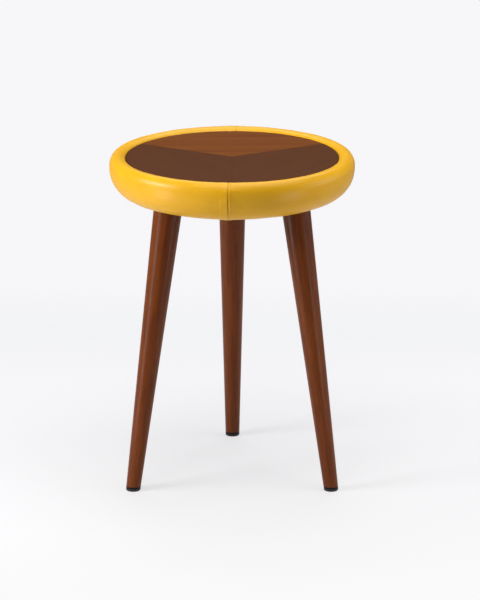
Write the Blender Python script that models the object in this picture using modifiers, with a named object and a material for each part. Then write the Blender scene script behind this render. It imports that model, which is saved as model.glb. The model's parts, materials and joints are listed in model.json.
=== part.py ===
"""Three-legged side table: a veneered round top set inside a padded leather rim.

Metres, +Z up, origin on the floor under the middle of the top. The legs stand at
90, 210 and 330 degrees, so one points away from the front (-Y) and two flank it.
"""

import math

import bmesh
import bpy

# Overall
TOP_HEIGHT = 0.5413  # wooden face above the floor
TOP_RADIUS = 0.1735  # edge of the wooden face
FIT_GAP = 0.0003  # clearance between pieces that touch

# Padded rim, as a section
RIM_WIDTH = 0.0262  # widest point outside the cover's inner wall
RIM_SHOULDER = 0.0123  # crown inside the widest point
CROWN_RISE = 0.0046  # crown above the wooden face
INNER_ROLL = 0.0080  # height over which the inner side rolls down
WIDEST_DROP = 0.0139  # widest point below the wooden face
RIM_DEPTH = 0.0624  # flat underside below the wooden face
RIM_TUCK = 0.0478  # flat underside starts this far inside the widest point
LEATHER = 0.0014
COVER_TOP_TURN = 0.0200  # cover's edge clamped under the top panel
COVER_BASE_TURN = 0.0045  # cover's edge stapled under the bottom board
SEAM_AZIMUTH = math.radians(88.2)  # seams lie here and straight opposite

# Top and core
VENEER = 0.0010
PANEL = 0.0090
TOP_BOARD = 0.0120
BOTTOM_BOARD = 0.0180
SPACER_WALL = 0.0200
DUST_COVER = 0.0007
SECTORS = ("veneer_back", "veneer_left", "veneer_right")
SECTOR_START = math.radians(30.0)

# Legs
LEGS = 3
LEG_AZIMUTH = math.radians(90.0)
LEG_SPLAY = math.radians(8.33)
LEG_TOP_RADIUS = 0.0232
LEG_TIP_RADIUS = 0.0119
LEG_EASE = 0.0015  # eased upper rim
LEG_RIM_GAP = 0.0011  # upper rim's high side below the plate's flange
GLIDE = 0.0040
GLIDE_ROUND = 0.0018
GLIDE_SEAT_EASE = 0.0003

# Leg plates and fasteners
PLATE_SIDE = 0.0520
PLATE_CORNER = 0.0060
PLATE_SETBACK = 0.0036  # plate inside the cover's lower edge
PLATE = 0.0025
PLATE_HOLE_INSET = 0.0060  # screw hole from each side of the plate
BOSS_RADIUS = 0.0150
BOLT_RADIUS = 0.0040
BOLT_POINT = 0.0040
BOLT_IN_LEG = 0.0350
BOLT_IN_BOARD = 0.0080
SCREW_RADIUS = 0.0019
SCREW_HEAD_RADIUS = 0.0038
SCREW_HEAD = 0.0022
SCREW_POINT = 0.0040
PLATE_SCREW_BITE = 0.0110  # plate screw inside the bottom board
PANEL_SCREW_BITE = 0.0055  # panel screw inside the top panel
PANEL_SCREW_INSET = 0.0250  # panel screws inside the spacer ring
CORE_SCREW_BITE = 0.0080  # core screw inside the top board
RING_SCREWS = 6
NAIL_RADIUS = 0.0013
NAIL_HEAD_RADIUS = 0.0040
NAIL_HEAD = 0.0010
NAIL_POINT = 0.0030
NAIL_RECESS = 0.0010  # nail head above the floor
NAIL_IN_LEG = 0.0160

# Facets
ROUND_STEPS = 72
ROLL_STEPS = 3
SHOULDER_STEPS = 4
TUCK_STEPS = 5
LEG_STEPS = 32
GLIDE_STEPS = 24
EDGE_STEPS = 3
BOLT_STEPS = 16
SCREW_STEPS = 10
MERGE = 0.00001
SMOOTH_ANGLE = math.radians(35.0)
OVERRUN = 0.0050  # cutters stand past the faces that they cut

# Levels and radii that follow from the sizes above
WALL_RADIUS = TOP_RADIUS + FIT_GAP
RING_RADIUS = WALL_RADIUS + RIM_WIDTH
CROWN_RADIUS = RING_RADIUS - RIM_SHOULDER
TUCK_RADIUS = RING_RADIUS - RIM_TUCK
CROWN_Z = TOP_HEIGHT + CROWN_RISE
WIDEST_Z = TOP_HEIGHT - WIDEST_DROP
RIM_BASE_Z = TOP_HEIGHT - RIM_DEPTH
PANEL_TOP_Z = TOP_HEIGHT - VENEER - FIT_GAP
PANEL_BASE_Z = PANEL_TOP_Z - PANEL
SEAT_Z = PANEL_BASE_Z - FIT_GAP  # leather's face under the panel
BOARD_TOP_Z = SEAT_Z - LEATHER - FIT_GAP
BOARD_BASE_Z = BOARD_TOP_Z - TOP_BOARD
BOARD_RADIUS = WALL_RADIUS + LEATHER
BASE_Z = RIM_BASE_Z + LEATHER + FIT_GAP  # underside of the bottom board
BASE_TOP_Z = BASE_Z + BOTTOM_BOARD
BASE_RADIUS = TUCK_RADIUS - FIT_GAP
SPACER_RADIUS = BASE_RADIUS - SPACER_WALL
COVER_END_RADIUS = TUCK_RADIUS - COVER_BASE_TURN
DUST_RADIUS = COVER_END_RADIUS - FIT_GAP
DUST_TOP_Z = BASE_Z - FIT_GAP
PLATE_TOP_Z = DUST_TOP_Z - DUST_COVER - FIT_GAP
PLATE_RADIUS = COVER_END_RADIUS - PLATE_SETBACK - PLATE_SIDE / 2
BOSS_DROP = LEG_RIM_GAP + LEG_TOP_RADIUS * math.sin(LEG_SPLAY)  # boss end below the flange, on its axis
LEG_TOP_DROP = PLATE + BOSS_DROP + FIT_GAP  # leg top below the plate's upper face
LEG_FOOT_Z = GLIDE + FIT_GAP


def clear_scene():
    """Empties the scene, so that only the table is in it."""
    for obj in list(bpy.data.objects):
        bpy.data.objects.remove(obj, do_unlink=True)


def new_collection(name, parent):
    """A collection under parent."""
    collection = bpy.data.collections.new(name)
    parent.children.link(collection)
    return collection


def new_material(name, colour, roughness, metallic=0.0):
    """A Principled material with a plain colour, linear red, green and blue."""
    material = bpy.data.materials.new(name)
    material.use_nodes = True
    shader = material.node_tree.nodes["Principled BSDF"]
    shader.inputs["Base Color"].default_value = (*colour, 1.0)
    shader.inputs["Roughness"].default_value = roughness
    shader.inputs["Metallic"].default_value = metallic
    return material


def smooth(mesh):
    """Shades a mesh smooth, apart from its sharp edges."""
    mesh.shade_smooth()
    mesh.set_sharp_from_angle(angle=SMOOTH_ANGLE)


def new_part(name, mesh, material):
    """An object of the table with its own material."""
    obj = bpy.data.objects.new(name, mesh)
    PARTS.objects.link(obj)
    mesh.materials.append(material)
    return obj


def new_cutter(name, mesh, collection):
    """A shape that is cut out of other pieces."""
    obj = bpy.data.objects.new(name, mesh)
    collection.objects.link(obj)
    obj.hide_render = True
    obj.display_type = "WIRE"
    return obj


def place(obj, location, rotation=(0.0, 0.0, 0.0), parent=None):
    """Sets an object down in its parent's frame."""
    obj.parent = parent
    obj.location = location
    obj.rotation_euler = rotation
    return obj


def bake(obj):
    """The mesh that an object's modifiers give, smooth, in place of the object."""
    graph = bpy.context.evaluated_depsgraph_get()
    mesh = bpy.data.meshes.new_from_object(obj.evaluated_get(graph))
    mesh.name = obj.name
    bpy.data.objects.remove(obj, do_unlink=True)
    smooth(mesh)
    return mesh


def turned(name, profile, steps, closed=False, sweep=math.tau, wall=0.0):
    """A mesh turned about Z from (radius, height) points that run down its outer side.

    A closed profile makes a ring. A wall turns an open profile into a shell, with the
    profile on its outer face.
    """
    outline = bpy.data.meshes.new(name)
    last = len(profile) - 1
    edges = [(i, i + 1) for i in range(last)]
    if closed:
        edges.append((last, 0))
    outline.from_pydata([(radius, 0.0, height) for radius, height in profile], edges, [])
    obj = bpy.data.objects.new(name, outline)
    PARTS.objects.link(obj)
    screw = obj.modifiers.new("turn", "SCREW")
    screw.angle = sweep
    screw.steps = steps
    screw.render_steps = steps
    screw.use_merge_vertices = True
    screw.merge_threshold = MERGE
    if wall:
        solidify = obj.modifiers.new("wall", "SOLIDIFY")
        solidify.thickness = wall
        solidify.offset = -1.0
        solidify.use_even_offset = True
    return bake(obj)


def disc(name, radius, top, base, steps=ROUND_STEPS):
    """A flat round mesh between two heights."""
    mesh = bpy.data.meshes.new(name)
    shape = bmesh.new()
    bmesh.ops.create_cone(
        shape,
        cap_ends=True,
        segments=steps,
        radius1=radius,
        radius2=radius,
        depth=top - base,
    )
    bmesh.ops.translate(shape, verts=shape.verts, vec=(0.0, 0.0, (top + base) / 2))
    shape.to_mesh(mesh)
    shape.free()
    smooth(mesh)
    return mesh


def block(name, side, top, base, corner=0.0):
    """A square mesh between two heights, with its upright edges rounded by corner."""
    mesh = bpy.data.meshes.new(name)
    shape = bmesh.new()
    bmesh.ops.create_cube(shape, size=1.0)
    bmesh.ops.scale(shape, verts=shape.verts, vec=(side, side, top - base))
    bmesh.ops.translate(shape, verts=shape.verts, vec=(0.0, 0.0, (top + base) / 2))
    if corner:
        upright = [edge for edge in shape.edges if edge.verts[0].co.xy == edge.verts[1].co.xy]
        bmesh.ops.bevel(
            shape, geom=upright, offset=corner, segments=EDGE_STEPS, profile=0.5, affect="EDGES"
        )
    shape.to_mesh(mesh)
    shape.free()
    return mesh


def combine(obj, other, operation="DIFFERENCE"):
    """Notes a shape, or a collection of shapes, to cut out of an object or to join on."""
    BOOLEANS.append((obj, other, operation))


def add_booleans():
    """Adds the Booleans last, or each piece turned after one would work it out again."""
    for obj, other, operation in BOOLEANS:
        boolean = obj.modifiers.new(other.name, "BOOLEAN")
        boolean.operation = operation
        boolean.solver = "EXACT"
        if isinstance(other, bpy.types.Collection):
            boolean.operand_type = "COLLECTION"
            boolean.collection = other
        else:
            boolean.object = other


def elliptic_arc(centre, radii, start, end, steps, inset=0.0):
    """Points on part of an upright ellipse, moved in along its normals by inset."""
    points = []
    for i in range(steps + 1):
        angle = math.radians(start + (end - start) * i / steps)
        normal = (radii[1] * math.cos(angle), radii[0] * math.sin(angle))
        shrink = inset / math.hypot(*normal)
        points.append(
            (
                centre[0] + radii[0] * math.cos(angle) - normal[0] * shrink,
                centre[1] + radii[1] * math.sin(angle) - normal[1] * shrink,
            )
        )
    return points


def rim_section(inset):
    """The rim's curved side, from its inner wall over the crown to its flat underside."""
    roll = elliptic_arc(
        (CROWN_RADIUS, CROWN_Z - INNER_ROLL),
        (CROWN_RADIUS - WALL_RADIUS, INNER_ROLL),
        180.0,
        90.0,
        ROLL_STEPS,
        inset,
    )
    shoulder = elliptic_arc(
        (CROWN_RADIUS, WIDEST_Z), (RIM_SHOULDER, CROWN_Z - WIDEST_Z), 90.0, 0.0, SHOULDER_STEPS, inset
    )
    tuck = elliptic_arc(
        (TUCK_RADIUS, WIDEST_Z), (RIM_TUCK, WIDEST_Z - RIM_BASE_Z), 0.0, -90.0, TUCK_STEPS, inset
    )
    return roll + shoulder[1:] + tuck[1:]


def screw_profile(length, clearance=0.0):
    """Half outline of a countersunk screw, head up at height 0, or of its hole."""
    head = SCREW_HEAD_RADIUS + clearance
    shank = SCREW_RADIUS + clearance
    profile = [(0.0, 0.0), (head, 0.0)]
    if clearance:
        profile = [(0.0, OVERRUN), (head, OVERRUN), (head, 0.0)]
    profile.append((shank, -SCREW_HEAD))
    profile.append((shank, SCREW_POINT - length))
    profile.append((0.0, -length - clearance))
    return profile


def add_screw(name, length, location, holes, parent=None):
    """A screw driven upwards, with its head at location, and the hole that it needs."""
    upwards = (math.pi, 0.0, 0.0)
    screw = new_part(name, turned(name, screw_profile(length), SCREW_STEPS), STEEL)
    place(screw, location, upwards, parent)
    hole = turned(name + "_hole", screw_profile(length, FIT_GAP), SCREW_STEPS)
    place(new_cutter(name + "_hole", hole, holes), location, upwards, parent)


def around(count, radius, height, start=0.0):
    """Evenly spaced places on a level circle."""
    places = []
    for i in range(count):
        azimuth = start + math.tau * i / count
        places.append((radius * math.cos(azimuth), radius * math.sin(azimuth), height))
    return places


def add_rim():
    """The foam ring and the two halves of its leather cover."""
    foam = rim_section(LEATHER + FIT_GAP)
    foam.append((TUCK_RADIUS, BOARD_BASE_Z - FIT_GAP))
    foam.append((BOARD_RADIUS + FIT_GAP, BOARD_BASE_Z - FIT_GAP))
    ring = new_part("foam_ring", turned("foam_ring", foam, ROUND_STEPS, closed=True), FOAM)
    place(ring, (0.0, 0.0, 0.0), (0.0, 0.0, SEAM_AZIMUTH))

    cover = [(WALL_RADIUS - COVER_TOP_TURN, SEAT_Z), (WALL_RADIUS, SEAT_Z)]
    cover += rim_section(0.0)
    cover.append((COVER_END_RADIUS, RIM_BASE_Z))
    seam = FIT_GAP / COVER_END_RADIUS
    sweep = math.pi - seam
    for name, start in (("leather_left", 0.0), ("leather_right", math.pi)):
        mesh = turned(name, cover, ROUND_STEPS // 2, sweep=sweep, wall=LEATHER)
        half = new_part(name, mesh, YELLOW_LEATHER)
        place(half, (0.0, 0.0, 0.0), (0.0, 0.0, SEAM_AZIMUTH + start + seam / 2))


def add_core(leg_holes):
    """The plywood drum inside the rim, its screws and the cloth under it."""
    core_holes = new_collection("core_holes", CUTTERS)
    core_length = BOARD_BASE_Z - BASE_Z + CORE_SCREW_BITE
    screw_circle = BASE_RADIUS - SPACER_WALL / 2
    for i, location in enumerate(around(RING_SCREWS, screw_circle, BASE_Z), 1):
        add_screw(f"core_screw_{i}", core_length, location, core_holes)

    bottom = new_part("bottom_board", disc("bottom_board", BASE_RADIUS, BASE_TOP_Z, BASE_Z), PLYWOOD)
    combine(bottom, core_holes)
    combine(bottom, leg_holes)
    section = [
        (SPACER_RADIUS, BOARD_BASE_Z - FIT_GAP),
        (BASE_RADIUS, BOARD_BASE_Z - FIT_GAP),
        (BASE_RADIUS, BASE_TOP_Z + FIT_GAP),
        (SPACER_RADIUS, BASE_TOP_Z + FIT_GAP),
    ]
    spacer = new_part("spacer_ring", turned("spacer_ring", section, ROUND_STEPS, closed=True), PLYWOOD)
    combine(spacer, core_holes)
    top = new_part("top_board", disc("top_board", BOARD_RADIUS, BOARD_TOP_Z, BOARD_BASE_Z), PLYWOOD)
    combine(top, core_holes)

    panel_holes = new_collection("panel_holes", CUTTERS)
    panel_length = PANEL_BASE_Z - BOARD_BASE_Z + PANEL_SCREW_BITE
    panel_circle = SPACER_RADIUS - PANEL_SCREW_INSET
    for i, location in enumerate(around(RING_SCREWS, panel_circle, BOARD_BASE_Z), 1):
        add_screw(f"panel_screw_{i}", panel_length, location, panel_holes)
    combine(top, panel_holes)
    panel = new_part("top_panel", disc("top_panel", TOP_RADIUS, PANEL_TOP_Z, PANEL_BASE_Z), FIBREBOARD)
    combine(panel, panel_holes)

    cloth = disc("dust_cover", DUST_RADIUS, DUST_TOP_Z, DUST_TOP_Z - DUST_COVER)
    combine(new_part("dust_cover", cloth, BLACK_CLOTH), leg_holes)


def add_veneer():
    """Equal sectors of veneer that meet in the middle of the top."""
    span = math.tau / len(SECTORS)
    arc_steps = ROUND_STEPS // len(SECTORS)
    for i, name in enumerate(SECTORS):
        bisector = SECTOR_START + span * (i + 0.5)
        apex = FIT_GAP / 2 / math.sin(span / 2)
        trim = math.asin(FIT_GAP / 2 / TOP_RADIUS)
        outline = [(apex, 0.0)]
        for j in range(arc_steps + 1):
            angle = -span / 2 + trim + (span - 2 * trim) * j / arc_steps
            outline.append((TOP_RADIUS * math.cos(angle), TOP_RADIUS * math.sin(angle)))
        curve = bpy.data.curves.new(name, "CURVE")
        curve.dimensions = "2D"
        curve.fill_mode = "BOTH"
        curve.extrude = VENEER / 2
        spline = curve.splines.new("POLY")
        spline.points.add(len(outline) - 1)
        for point, (x, y) in zip(spline.points, outline):
            point.co = (x, y, 0.0, 1.0)
        spline.use_cyclic_u = True
        curve.materials.append(LIGHT_VENEER if i == 0 else DARK_VENEER)
        sector = bpy.data.objects.new(name, curve)
        PARTS.objects.link(sector)
        place(sector, (0.0, 0.0, TOP_HEIGHT - VENEER / 2), (0.0, 0.0, bisector))


def on_leg_axis(drop):
    """The point of a leg's axis that lies drop below its plate's upper face."""
    return (drop * math.tan(LEG_SPLAY), 0.0, -drop)


def add_plate(number, station, holes):
    """A steel angle plate with a slanted boss, and its four screws."""
    name = f"leg_plate_{number}"
    lean = (0.0, -LEG_SPLAY, 0.0)
    plate = new_part(name, block(name, PLATE_SIDE, OVERRUN, -PLATE, PLATE_CORNER), STEEL)
    place(plate, (0.0, 0.0, 0.0), parent=station)
    boss_depth = (PLATE + BOSS_DROP) / math.cos(LEG_SPLAY)
    boss_mesh = disc(name + "_boss", BOSS_RADIUS, OVERRUN / 2, -boss_depth, LEG_STEPS)
    boss = place(new_cutter(name + "_boss", boss_mesh, CUTTERS), (0.0, 0.0, 0.0), lean, station)
    slab_mesh = block(name + "_level", 2 * PLATE_SIDE, 2 * OVERRUN, 0.0)
    level = place(new_cutter(name + "_level", slab_mesh, CUTTERS), (0.0, 0.0, 0.0), parent=station)
    combine(plate, boss, "UNION")
    combine(plate, level)
    combine(plate, holes)

    reach = PLATE_SIDE / 2 - PLATE_HOLE_INSET
    length = PLATE_SCREW_BITE + BASE_Z - PLATE_TOP_Z + PLATE
    corners = ((reach, reach), (-reach, reach), (-reach, -reach), (reach, -reach))
    for i, (x, y) in enumerate(corners, 1):
        add_screw(f"plate_screw_{number}_{i}", length, (x, y, -PLATE), holes, station)


def add_bolt(number, station, holes):
    """The hanger bolt that joins a leg to its plate."""
    name = f"hanger_bolt_{number}"
    lean = (0.0, -LEG_SPLAY, 0.0)
    above = (BASE_Z - PLATE_TOP_Z + BOLT_IN_BOARD) / math.cos(LEG_SPLAY)
    below = LEG_TOP_DROP / math.cos(LEG_SPLAY) + BOLT_IN_LEG
    profile = [
        (0.0, above),
        (BOLT_RADIUS, above),
        (BOLT_RADIUS, BOLT_POINT - below),
        (0.0, -below),
    ]
    bolt = new_part(name, turned(name, profile, BOLT_STEPS), STEEL)
    place(bolt, (0.0, 0.0, 0.0), lean, station)
    hole = disc(name + "_hole", BOLT_RADIUS + FIT_GAP, above + FIT_GAP, -below, BOLT_STEPS)
    place(new_cutter(name + "_hole", hole, holes), (0.0, 0.0, 0.0), lean, station)


def add_leg(number, station, floor_cut):
    """A turned leg, drilled for its bolt, cut level above its glide."""
    name = f"leg_{number}"
    lean = (0.0, -LEG_SPLAY, 0.0)
    bore = BOLT_RADIUS + FIT_GAP
    bore_depth = BOLT_IN_LEG + FIT_GAP
    foot_drop = PLATE_TOP_Z - LEG_FOOT_Z
    length = (foot_drop - LEG_TOP_DROP) / math.cos(LEG_SPLAY)
    taper = (LEG_TOP_RADIUS - LEG_TIP_RADIUS) / length
    profile = [
        (0.0, -bore_depth),
        (bore, -bore_depth),
        (bore, 0.0),
        (LEG_TOP_RADIUS - LEG_EASE, 0.0),
        (LEG_TOP_RADIUS, -LEG_EASE),
        (LEG_TIP_RADIUS - taper * OVERRUN, -length - OVERRUN),
        (0.0, -length - OVERRUN),
    ]
    leg = new_part(name, turned(name, profile, LEG_STEPS), WALNUT_STAIN)
    place(leg, on_leg_axis(LEG_TOP_DROP), lean, station)
    combine(leg, floor_cut)

    nail_holes = new_collection(name + "_nail_hole", CUTTERS)
    add_glide(number, station, nail_holes)
    combine(leg, nail_holes)


def add_glide(number, station, nail_holes):
    """The plastic glide under a leg and the nail that holds it."""
    name = f"foot_glide_{number}"
    shank = NAIL_RADIUS + FIT_GAP
    recess = NAIL_HEAD_RADIUS + FIT_GAP
    recess_top = NAIL_RECESS + NAIL_HEAD + FIT_GAP
    glide_round = min(GLIDE_ROUND, GLIDE - GLIDE_SEAT_EASE)
    profile = [
        (shank, GLIDE),
        (LEG_TIP_RADIUS - GLIDE_SEAT_EASE, GLIDE),
        (LEG_TIP_RADIUS, GLIDE - GLIDE_SEAT_EASE),
    ]
    profile += elliptic_arc(
        (LEG_TIP_RADIUS - glide_round, glide_round), (glide_round, glide_round), 0.0, -90.0, EDGE_STEPS
    )
    profile += [(recess, 0.0), (recess, recess_top), (shank, recess_top)]
    foot = on_leg_axis(PLATE_TOP_Z - GLIDE)
    floor_point = (foot[0], foot[1], -PLATE_TOP_Z)
    glide = new_part(name, turned(name, profile, GLIDE_STEPS, closed=True), BLACK_PLASTIC)
    place(glide, floor_point, parent=station)

    name = f"glide_nail_{number}"
    head_top = NAIL_RECESS + NAIL_HEAD
    tip = LEG_FOOT_Z + NAIL_IN_LEG
    profile = [
        (0.0, tip),
        (NAIL_RADIUS, tip - NAIL_POINT),
        (NAIL_RADIUS, head_top),
        (NAIL_HEAD_RADIUS, head_top),
        (NAIL_HEAD_RADIUS, NAIL_RECESS),
        (0.0, NAIL_RECESS),
    ]
    place(new_part(name, turned(name, profile, SCREW_STEPS), STEEL), floor_point, parent=station)
    hole = disc(name + "_hole", shank, tip + FIT_GAP, 0.0, SCREW_STEPS)
    place(new_cutter(name + "_hole", hole, nail_holes), floor_point, parent=station)


def add_legs(leg_holes):
    """The legs with all that joins them to the base and the floor."""
    floor_mesh = block("floor_cut", 4 * RING_RADIUS, LEG_FOOT_Z, -4 * OVERRUN)
    floor_cut = new_cutter("floor_cut", floor_mesh, CUTTERS)
    for i, location in enumerate(around(LEGS, PLATE_RADIUS, PLATE_TOP_Z, LEG_AZIMUTH)):
        station = bpy.data.objects.new(f"leg_station_{i + 1}", None)
        PARTS.objects.link(station)
        place(station, location, (0.0, 0.0, LEG_AZIMUTH + math.tau * i / LEGS))
        holes = new_collection(f"leg_{i + 1}_holes", leg_holes)
        add_bolt(i + 1, station, holes)
        add_plate(i + 1, station, holes)
        add_leg(i + 1, station, floor_cut)


clear_scene()
PARTS = new_collection("side_table", bpy.context.scene.collection)
CUTTERS = new_collection("cutters", bpy.context.scene.collection)
YELLOW_LEATHER = new_material("yellow_leather", (0.74, 0.38, 0.03), 0.38)
LIGHT_VENEER = new_material("light_veneer", (0.20, 0.07, 0.022), 0.42)
DARK_VENEER = new_material("dark_veneer", (0.115, 0.047, 0.024), 0.42)
WALNUT_STAIN = new_material("walnut_stain", (0.13, 0.045, 0.016), 0.35)
PLYWOOD = new_material("plywood", (0.52, 0.36, 0.20), 0.70)
FIBREBOARD = new_material("fibreboard", (0.30, 0.20, 0.12), 0.80)
FOAM = new_material("upholstery_foam", (0.80, 0.76, 0.62), 0.95)
BLACK_CLOTH = new_material("black_cloth", (0.012, 0.012, 0.012), 0.95)
BLACK_PLASTIC = new_material("black_plastic", (0.010, 0.010, 0.011), 0.45)
STEEL = new_material("zinc_steel", (0.55, 0.56, 0.57), 0.35, 1.0)
LEG_HOLES = new_collection("leg_holes", CUTTERS)
BOOLEANS = []
add_legs(LEG_HOLES)
add_core(LEG_HOLES)
add_rim()
add_veneer()
add_booleans()
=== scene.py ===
"""Dressed side table: a veneered top in a padded leather rim, on three turned legs.

Metres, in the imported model's own frame: +Z up, the floor at 0 and -Y towards the camera.
"""

from __future__ import annotations

import json
import logging
import math
from dataclasses import astuple, dataclass, fields, replace
from enum import Enum

import bmesh
import bpy
import numpy as np
from mathutils import Matrix, Vector

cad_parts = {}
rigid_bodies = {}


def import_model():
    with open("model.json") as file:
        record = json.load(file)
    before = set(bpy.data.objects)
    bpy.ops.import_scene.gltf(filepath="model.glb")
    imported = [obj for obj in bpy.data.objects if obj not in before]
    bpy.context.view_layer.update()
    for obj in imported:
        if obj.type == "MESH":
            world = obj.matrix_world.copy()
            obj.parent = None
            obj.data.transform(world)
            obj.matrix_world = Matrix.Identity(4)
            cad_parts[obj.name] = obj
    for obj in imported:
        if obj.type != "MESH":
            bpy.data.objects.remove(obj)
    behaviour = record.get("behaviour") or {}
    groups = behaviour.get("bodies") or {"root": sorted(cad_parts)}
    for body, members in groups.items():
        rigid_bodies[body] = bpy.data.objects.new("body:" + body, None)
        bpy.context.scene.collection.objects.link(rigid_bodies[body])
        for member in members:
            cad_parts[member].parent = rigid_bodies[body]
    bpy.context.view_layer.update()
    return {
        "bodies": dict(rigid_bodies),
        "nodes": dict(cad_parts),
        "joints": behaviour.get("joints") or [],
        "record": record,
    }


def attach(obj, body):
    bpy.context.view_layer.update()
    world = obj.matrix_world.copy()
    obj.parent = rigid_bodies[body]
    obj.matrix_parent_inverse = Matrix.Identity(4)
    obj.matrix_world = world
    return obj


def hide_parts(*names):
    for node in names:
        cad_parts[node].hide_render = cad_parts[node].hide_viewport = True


Piece = bpy.types.Object
Tree = bpy.types.NodeTree
Node = bpy.types.Node
Socket = bpy.types.NodeSocket
Inputs = dict[str | int, object]
Number = np.ndarray | float
Pair = tuple[float, float]
Triple = tuple[float, float, float]
Profile = list[Pair]

LOG = logging.getLogger("side_table")
BODY = "root"
SEAM_SHADE_AND_DUST = "crease"  # vertex attribute: 1 in the bottom of a seam, where the leather gets painted shade and dust
TAU = math.tau
MERGED = 1e-7  # points that are this close become one
BUMP_DEPTH = 0.0001  # metres that a bump map stands for at full strength
ROUND_EDGE = 40.0  # degrees: from this angle an edge of a turned piece stays sharp
FLAT_EDGE = 20.0  # the same for flat faces, which stay flat up to their eased edges
THREAD_EDGE = 35.0
RANGE = ("From Min", "From Max", "To Min", "To Max")  # inputs of a Map Range node
STIFF_LEATHER = {  # settings of Blender's Cloth
    "quality": 6,
    "tension_stiffness": 5.0,
    "compression_stiffness": 5.0,
    "shear_stiffness": 2.0,
    "bending_stiffness": 0.05,
    "use_pressure": True,
}


class Slot(Enum):
    """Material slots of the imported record."""

    LIGHT_VENEER = "light_veneer"
    DARK_VENEER = "dark_veneer"
    STAINED_WOOD = "stained_wood"
    LEATHER = "yellow_leather"
    FOAM = "foam"
    CLOTH = "black_cloth"
    PLASTIC = "black_plastic"
    STEEL = "zinc_steel"


class Half(Enum):
    """The two halves of the cover, by the side that they lie on in the photograph."""

    LEFT = "left"
    RIGHT = "right"


def linear(code: str) -> tuple[float, ...]:
    """Turns an sRGB hex colour into the linear RGBA of a socket."""
    shares = [int(code[start : start + 2], 16) / 255 for start in (1, 3, 5)]
    return (*(s / 12.92 if s <= 0.04045 else ((s + 0.055) / 1.055) ** 2.4 for s in shares), 1.0)


def per_mm(size: float) -> float:
    """Gives the texture scale at which one feature measures size millimetres."""
    return 1000.0 / size


def ramp(value: np.ndarray, low: float, high: float) -> np.ndarray:
    """Eases from 0 at low to 1 at high, whichever of the two is larger."""
    share = np.clip((value - low) / (high - low), 0.0, 1.0)
    return share * share * (3.0 - 2.0 * share)


def even_angles(steps: int) -> np.ndarray:
    """Spaces angles evenly round a circle."""
    return np.arange(steps) * TAU / steps


def polar(radius: Number, angle: Number, height: Number) -> np.ndarray:
    """Places points by their radius and angle about Z and their height."""
    return np.stack(np.broadcast_arrays(radius * np.cos(angle), radius * np.sin(angle), height), axis=-1)


def elliptic(
    centre: Pair, radii: Pair, start: float, end: float, steps: int, power: float = 2.0
) -> Profile:
    """Draws part of an upright ellipse.

    Args:
        centre: Its middle.
        radii: Its two radii.
        start: First angle, in degrees.
        end: Last angle.
        steps: Steps between them.
        power: Above 2, the curve is fuller than an ellipse.

    Returns:
        The points.
    """
    angles = np.radians(np.linspace(start, end, steps + 1))
    circle = np.stack([np.cos(angles), np.sin(angles)], axis=1)
    curve = np.sign(circle) * np.abs(circle) ** (2.0 / power)
    return [tuple(point) for point in (np.array(centre) + np.array(radii) * curve).tolist()]


def grid_faces(rows: int, columns: int, start: int = 0, round_it: bool = False) -> list[list[int]]:
    """Lists the quads of a grid of points.

    Args:
        rows: Rows, which run down the outer side.
        columns: Points in a row, which run anticlockwise seen from above.
        start: Number of the grid's first point.
        round_it: Joins the last column to the first.

    Returns:
        Quads that face outwards.
    """
    number = start + np.arange(rows * columns).reshape(rows, columns)
    if round_it:
        number = np.concatenate([number, number[:, :1]], axis=1)
    corners = [number[:-1, :-1], number[1:, :-1], number[1:, 1:], number[:-1, 1:]]
    return np.stack(corners, axis=-1).reshape(-1, 4).tolist()


def add_object(data: bpy.types.ID) -> Piece:
    """Puts a mesh, lamp or camera into the scene.

    Args:
        data: What the object holds.

    Returns:
        An object of the same name, at the origin.
    """
    obj = bpy.data.objects.new(data.name, data)
    bpy.context.scene.collection.objects.link(obj)
    return obj


def add_mesh(name: str, points: np.ndarray, faces: list) -> bpy.types.Mesh:
    """Makes a mesh.

    Args:
        name: Its name.
        points: Coordinates, in rows of three.
        faces: Point numbers of each face.

    Returns:
        The mesh.
    """
    mesh = bpy.data.meshes.new(name)
    mesh.from_pydata(points.reshape(-1, 3).tolist(), [], faces)
    return mesh


def smooth(mesh: bpy.types.Mesh, sharp: float = ROUND_EDGE) -> Piece:
    """Puts a mesh into the scene, smooth apart from its sharp edges.

    Args:
        mesh: The mesh.
        sharp: Angle in degrees from which an edge stays sharp.

    Returns:
        The object.
    """
    mesh.shade_smooth()
    mesh.set_sharp_from_angle(angle=math.radians(sharp))
    return add_object(mesh)


def skin(name: str, rings: np.ndarray, sharp: float = ROUND_EDGE, capped: bool = False) -> Piece:
    """Makes a piece from rings of points and merges its double points.

    Args:
        name: Name of the piece.
        rings: Rings from the top down, each anticlockwise seen from above.
        sharp: Angle in degrees from which an edge stays sharp.
        capped: Closes the first and the last ring with a face.

    Returns:
        The piece.
    """
    rows, columns = rings.shape[:2]
    faces = grid_faces(rows, columns, round_it=True)
    if capped:
        numbers = list(range(rows * columns))
        faces += [numbers[:columns], numbers[-columns:][::-1]]
    mesh = add_mesh(name, rings, faces)
    shape = bmesh.new()
    shape.from_mesh(mesh)
    bmesh.ops.remove_doubles(shape, verts=shape.verts, dist=MERGED)
    shape.to_mesh(mesh)
    shape.free()
    return smooth(mesh, sharp)


def turned(
    name: str, rings: list[Pair | np.ndarray], steps: int, sharp: float = ROUND_EDGE, middle: Number = 0.0
) -> Piece:
    """Turns a piece about an upright axis.

    Args:
        name: Name of the piece.
        rings: (radius, height) down the outer side, as one pair for a ring or one for each of its points.
        steps: Steps round the axis.
        sharp: Angle in degrees from which an edge stays sharp.
        middle: Where the axis stands.

    Returns:
        The piece.
    """
    stack = np.stack([np.broadcast_to(ring, (steps, 2)) for ring in rings])
    return skin(name, polar(stack[..., 0], even_angles(steps), stack[..., 1]) + middle, sharp)


def as_mesh(obj: Piece) -> bpy.types.Mesh:
    """Gives the plain mesh that an object's modifiers make."""
    graph = bpy.context.evaluated_depsgraph_get()
    return bpy.data.meshes.new_from_object(obj.evaluated_get(graph))


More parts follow.
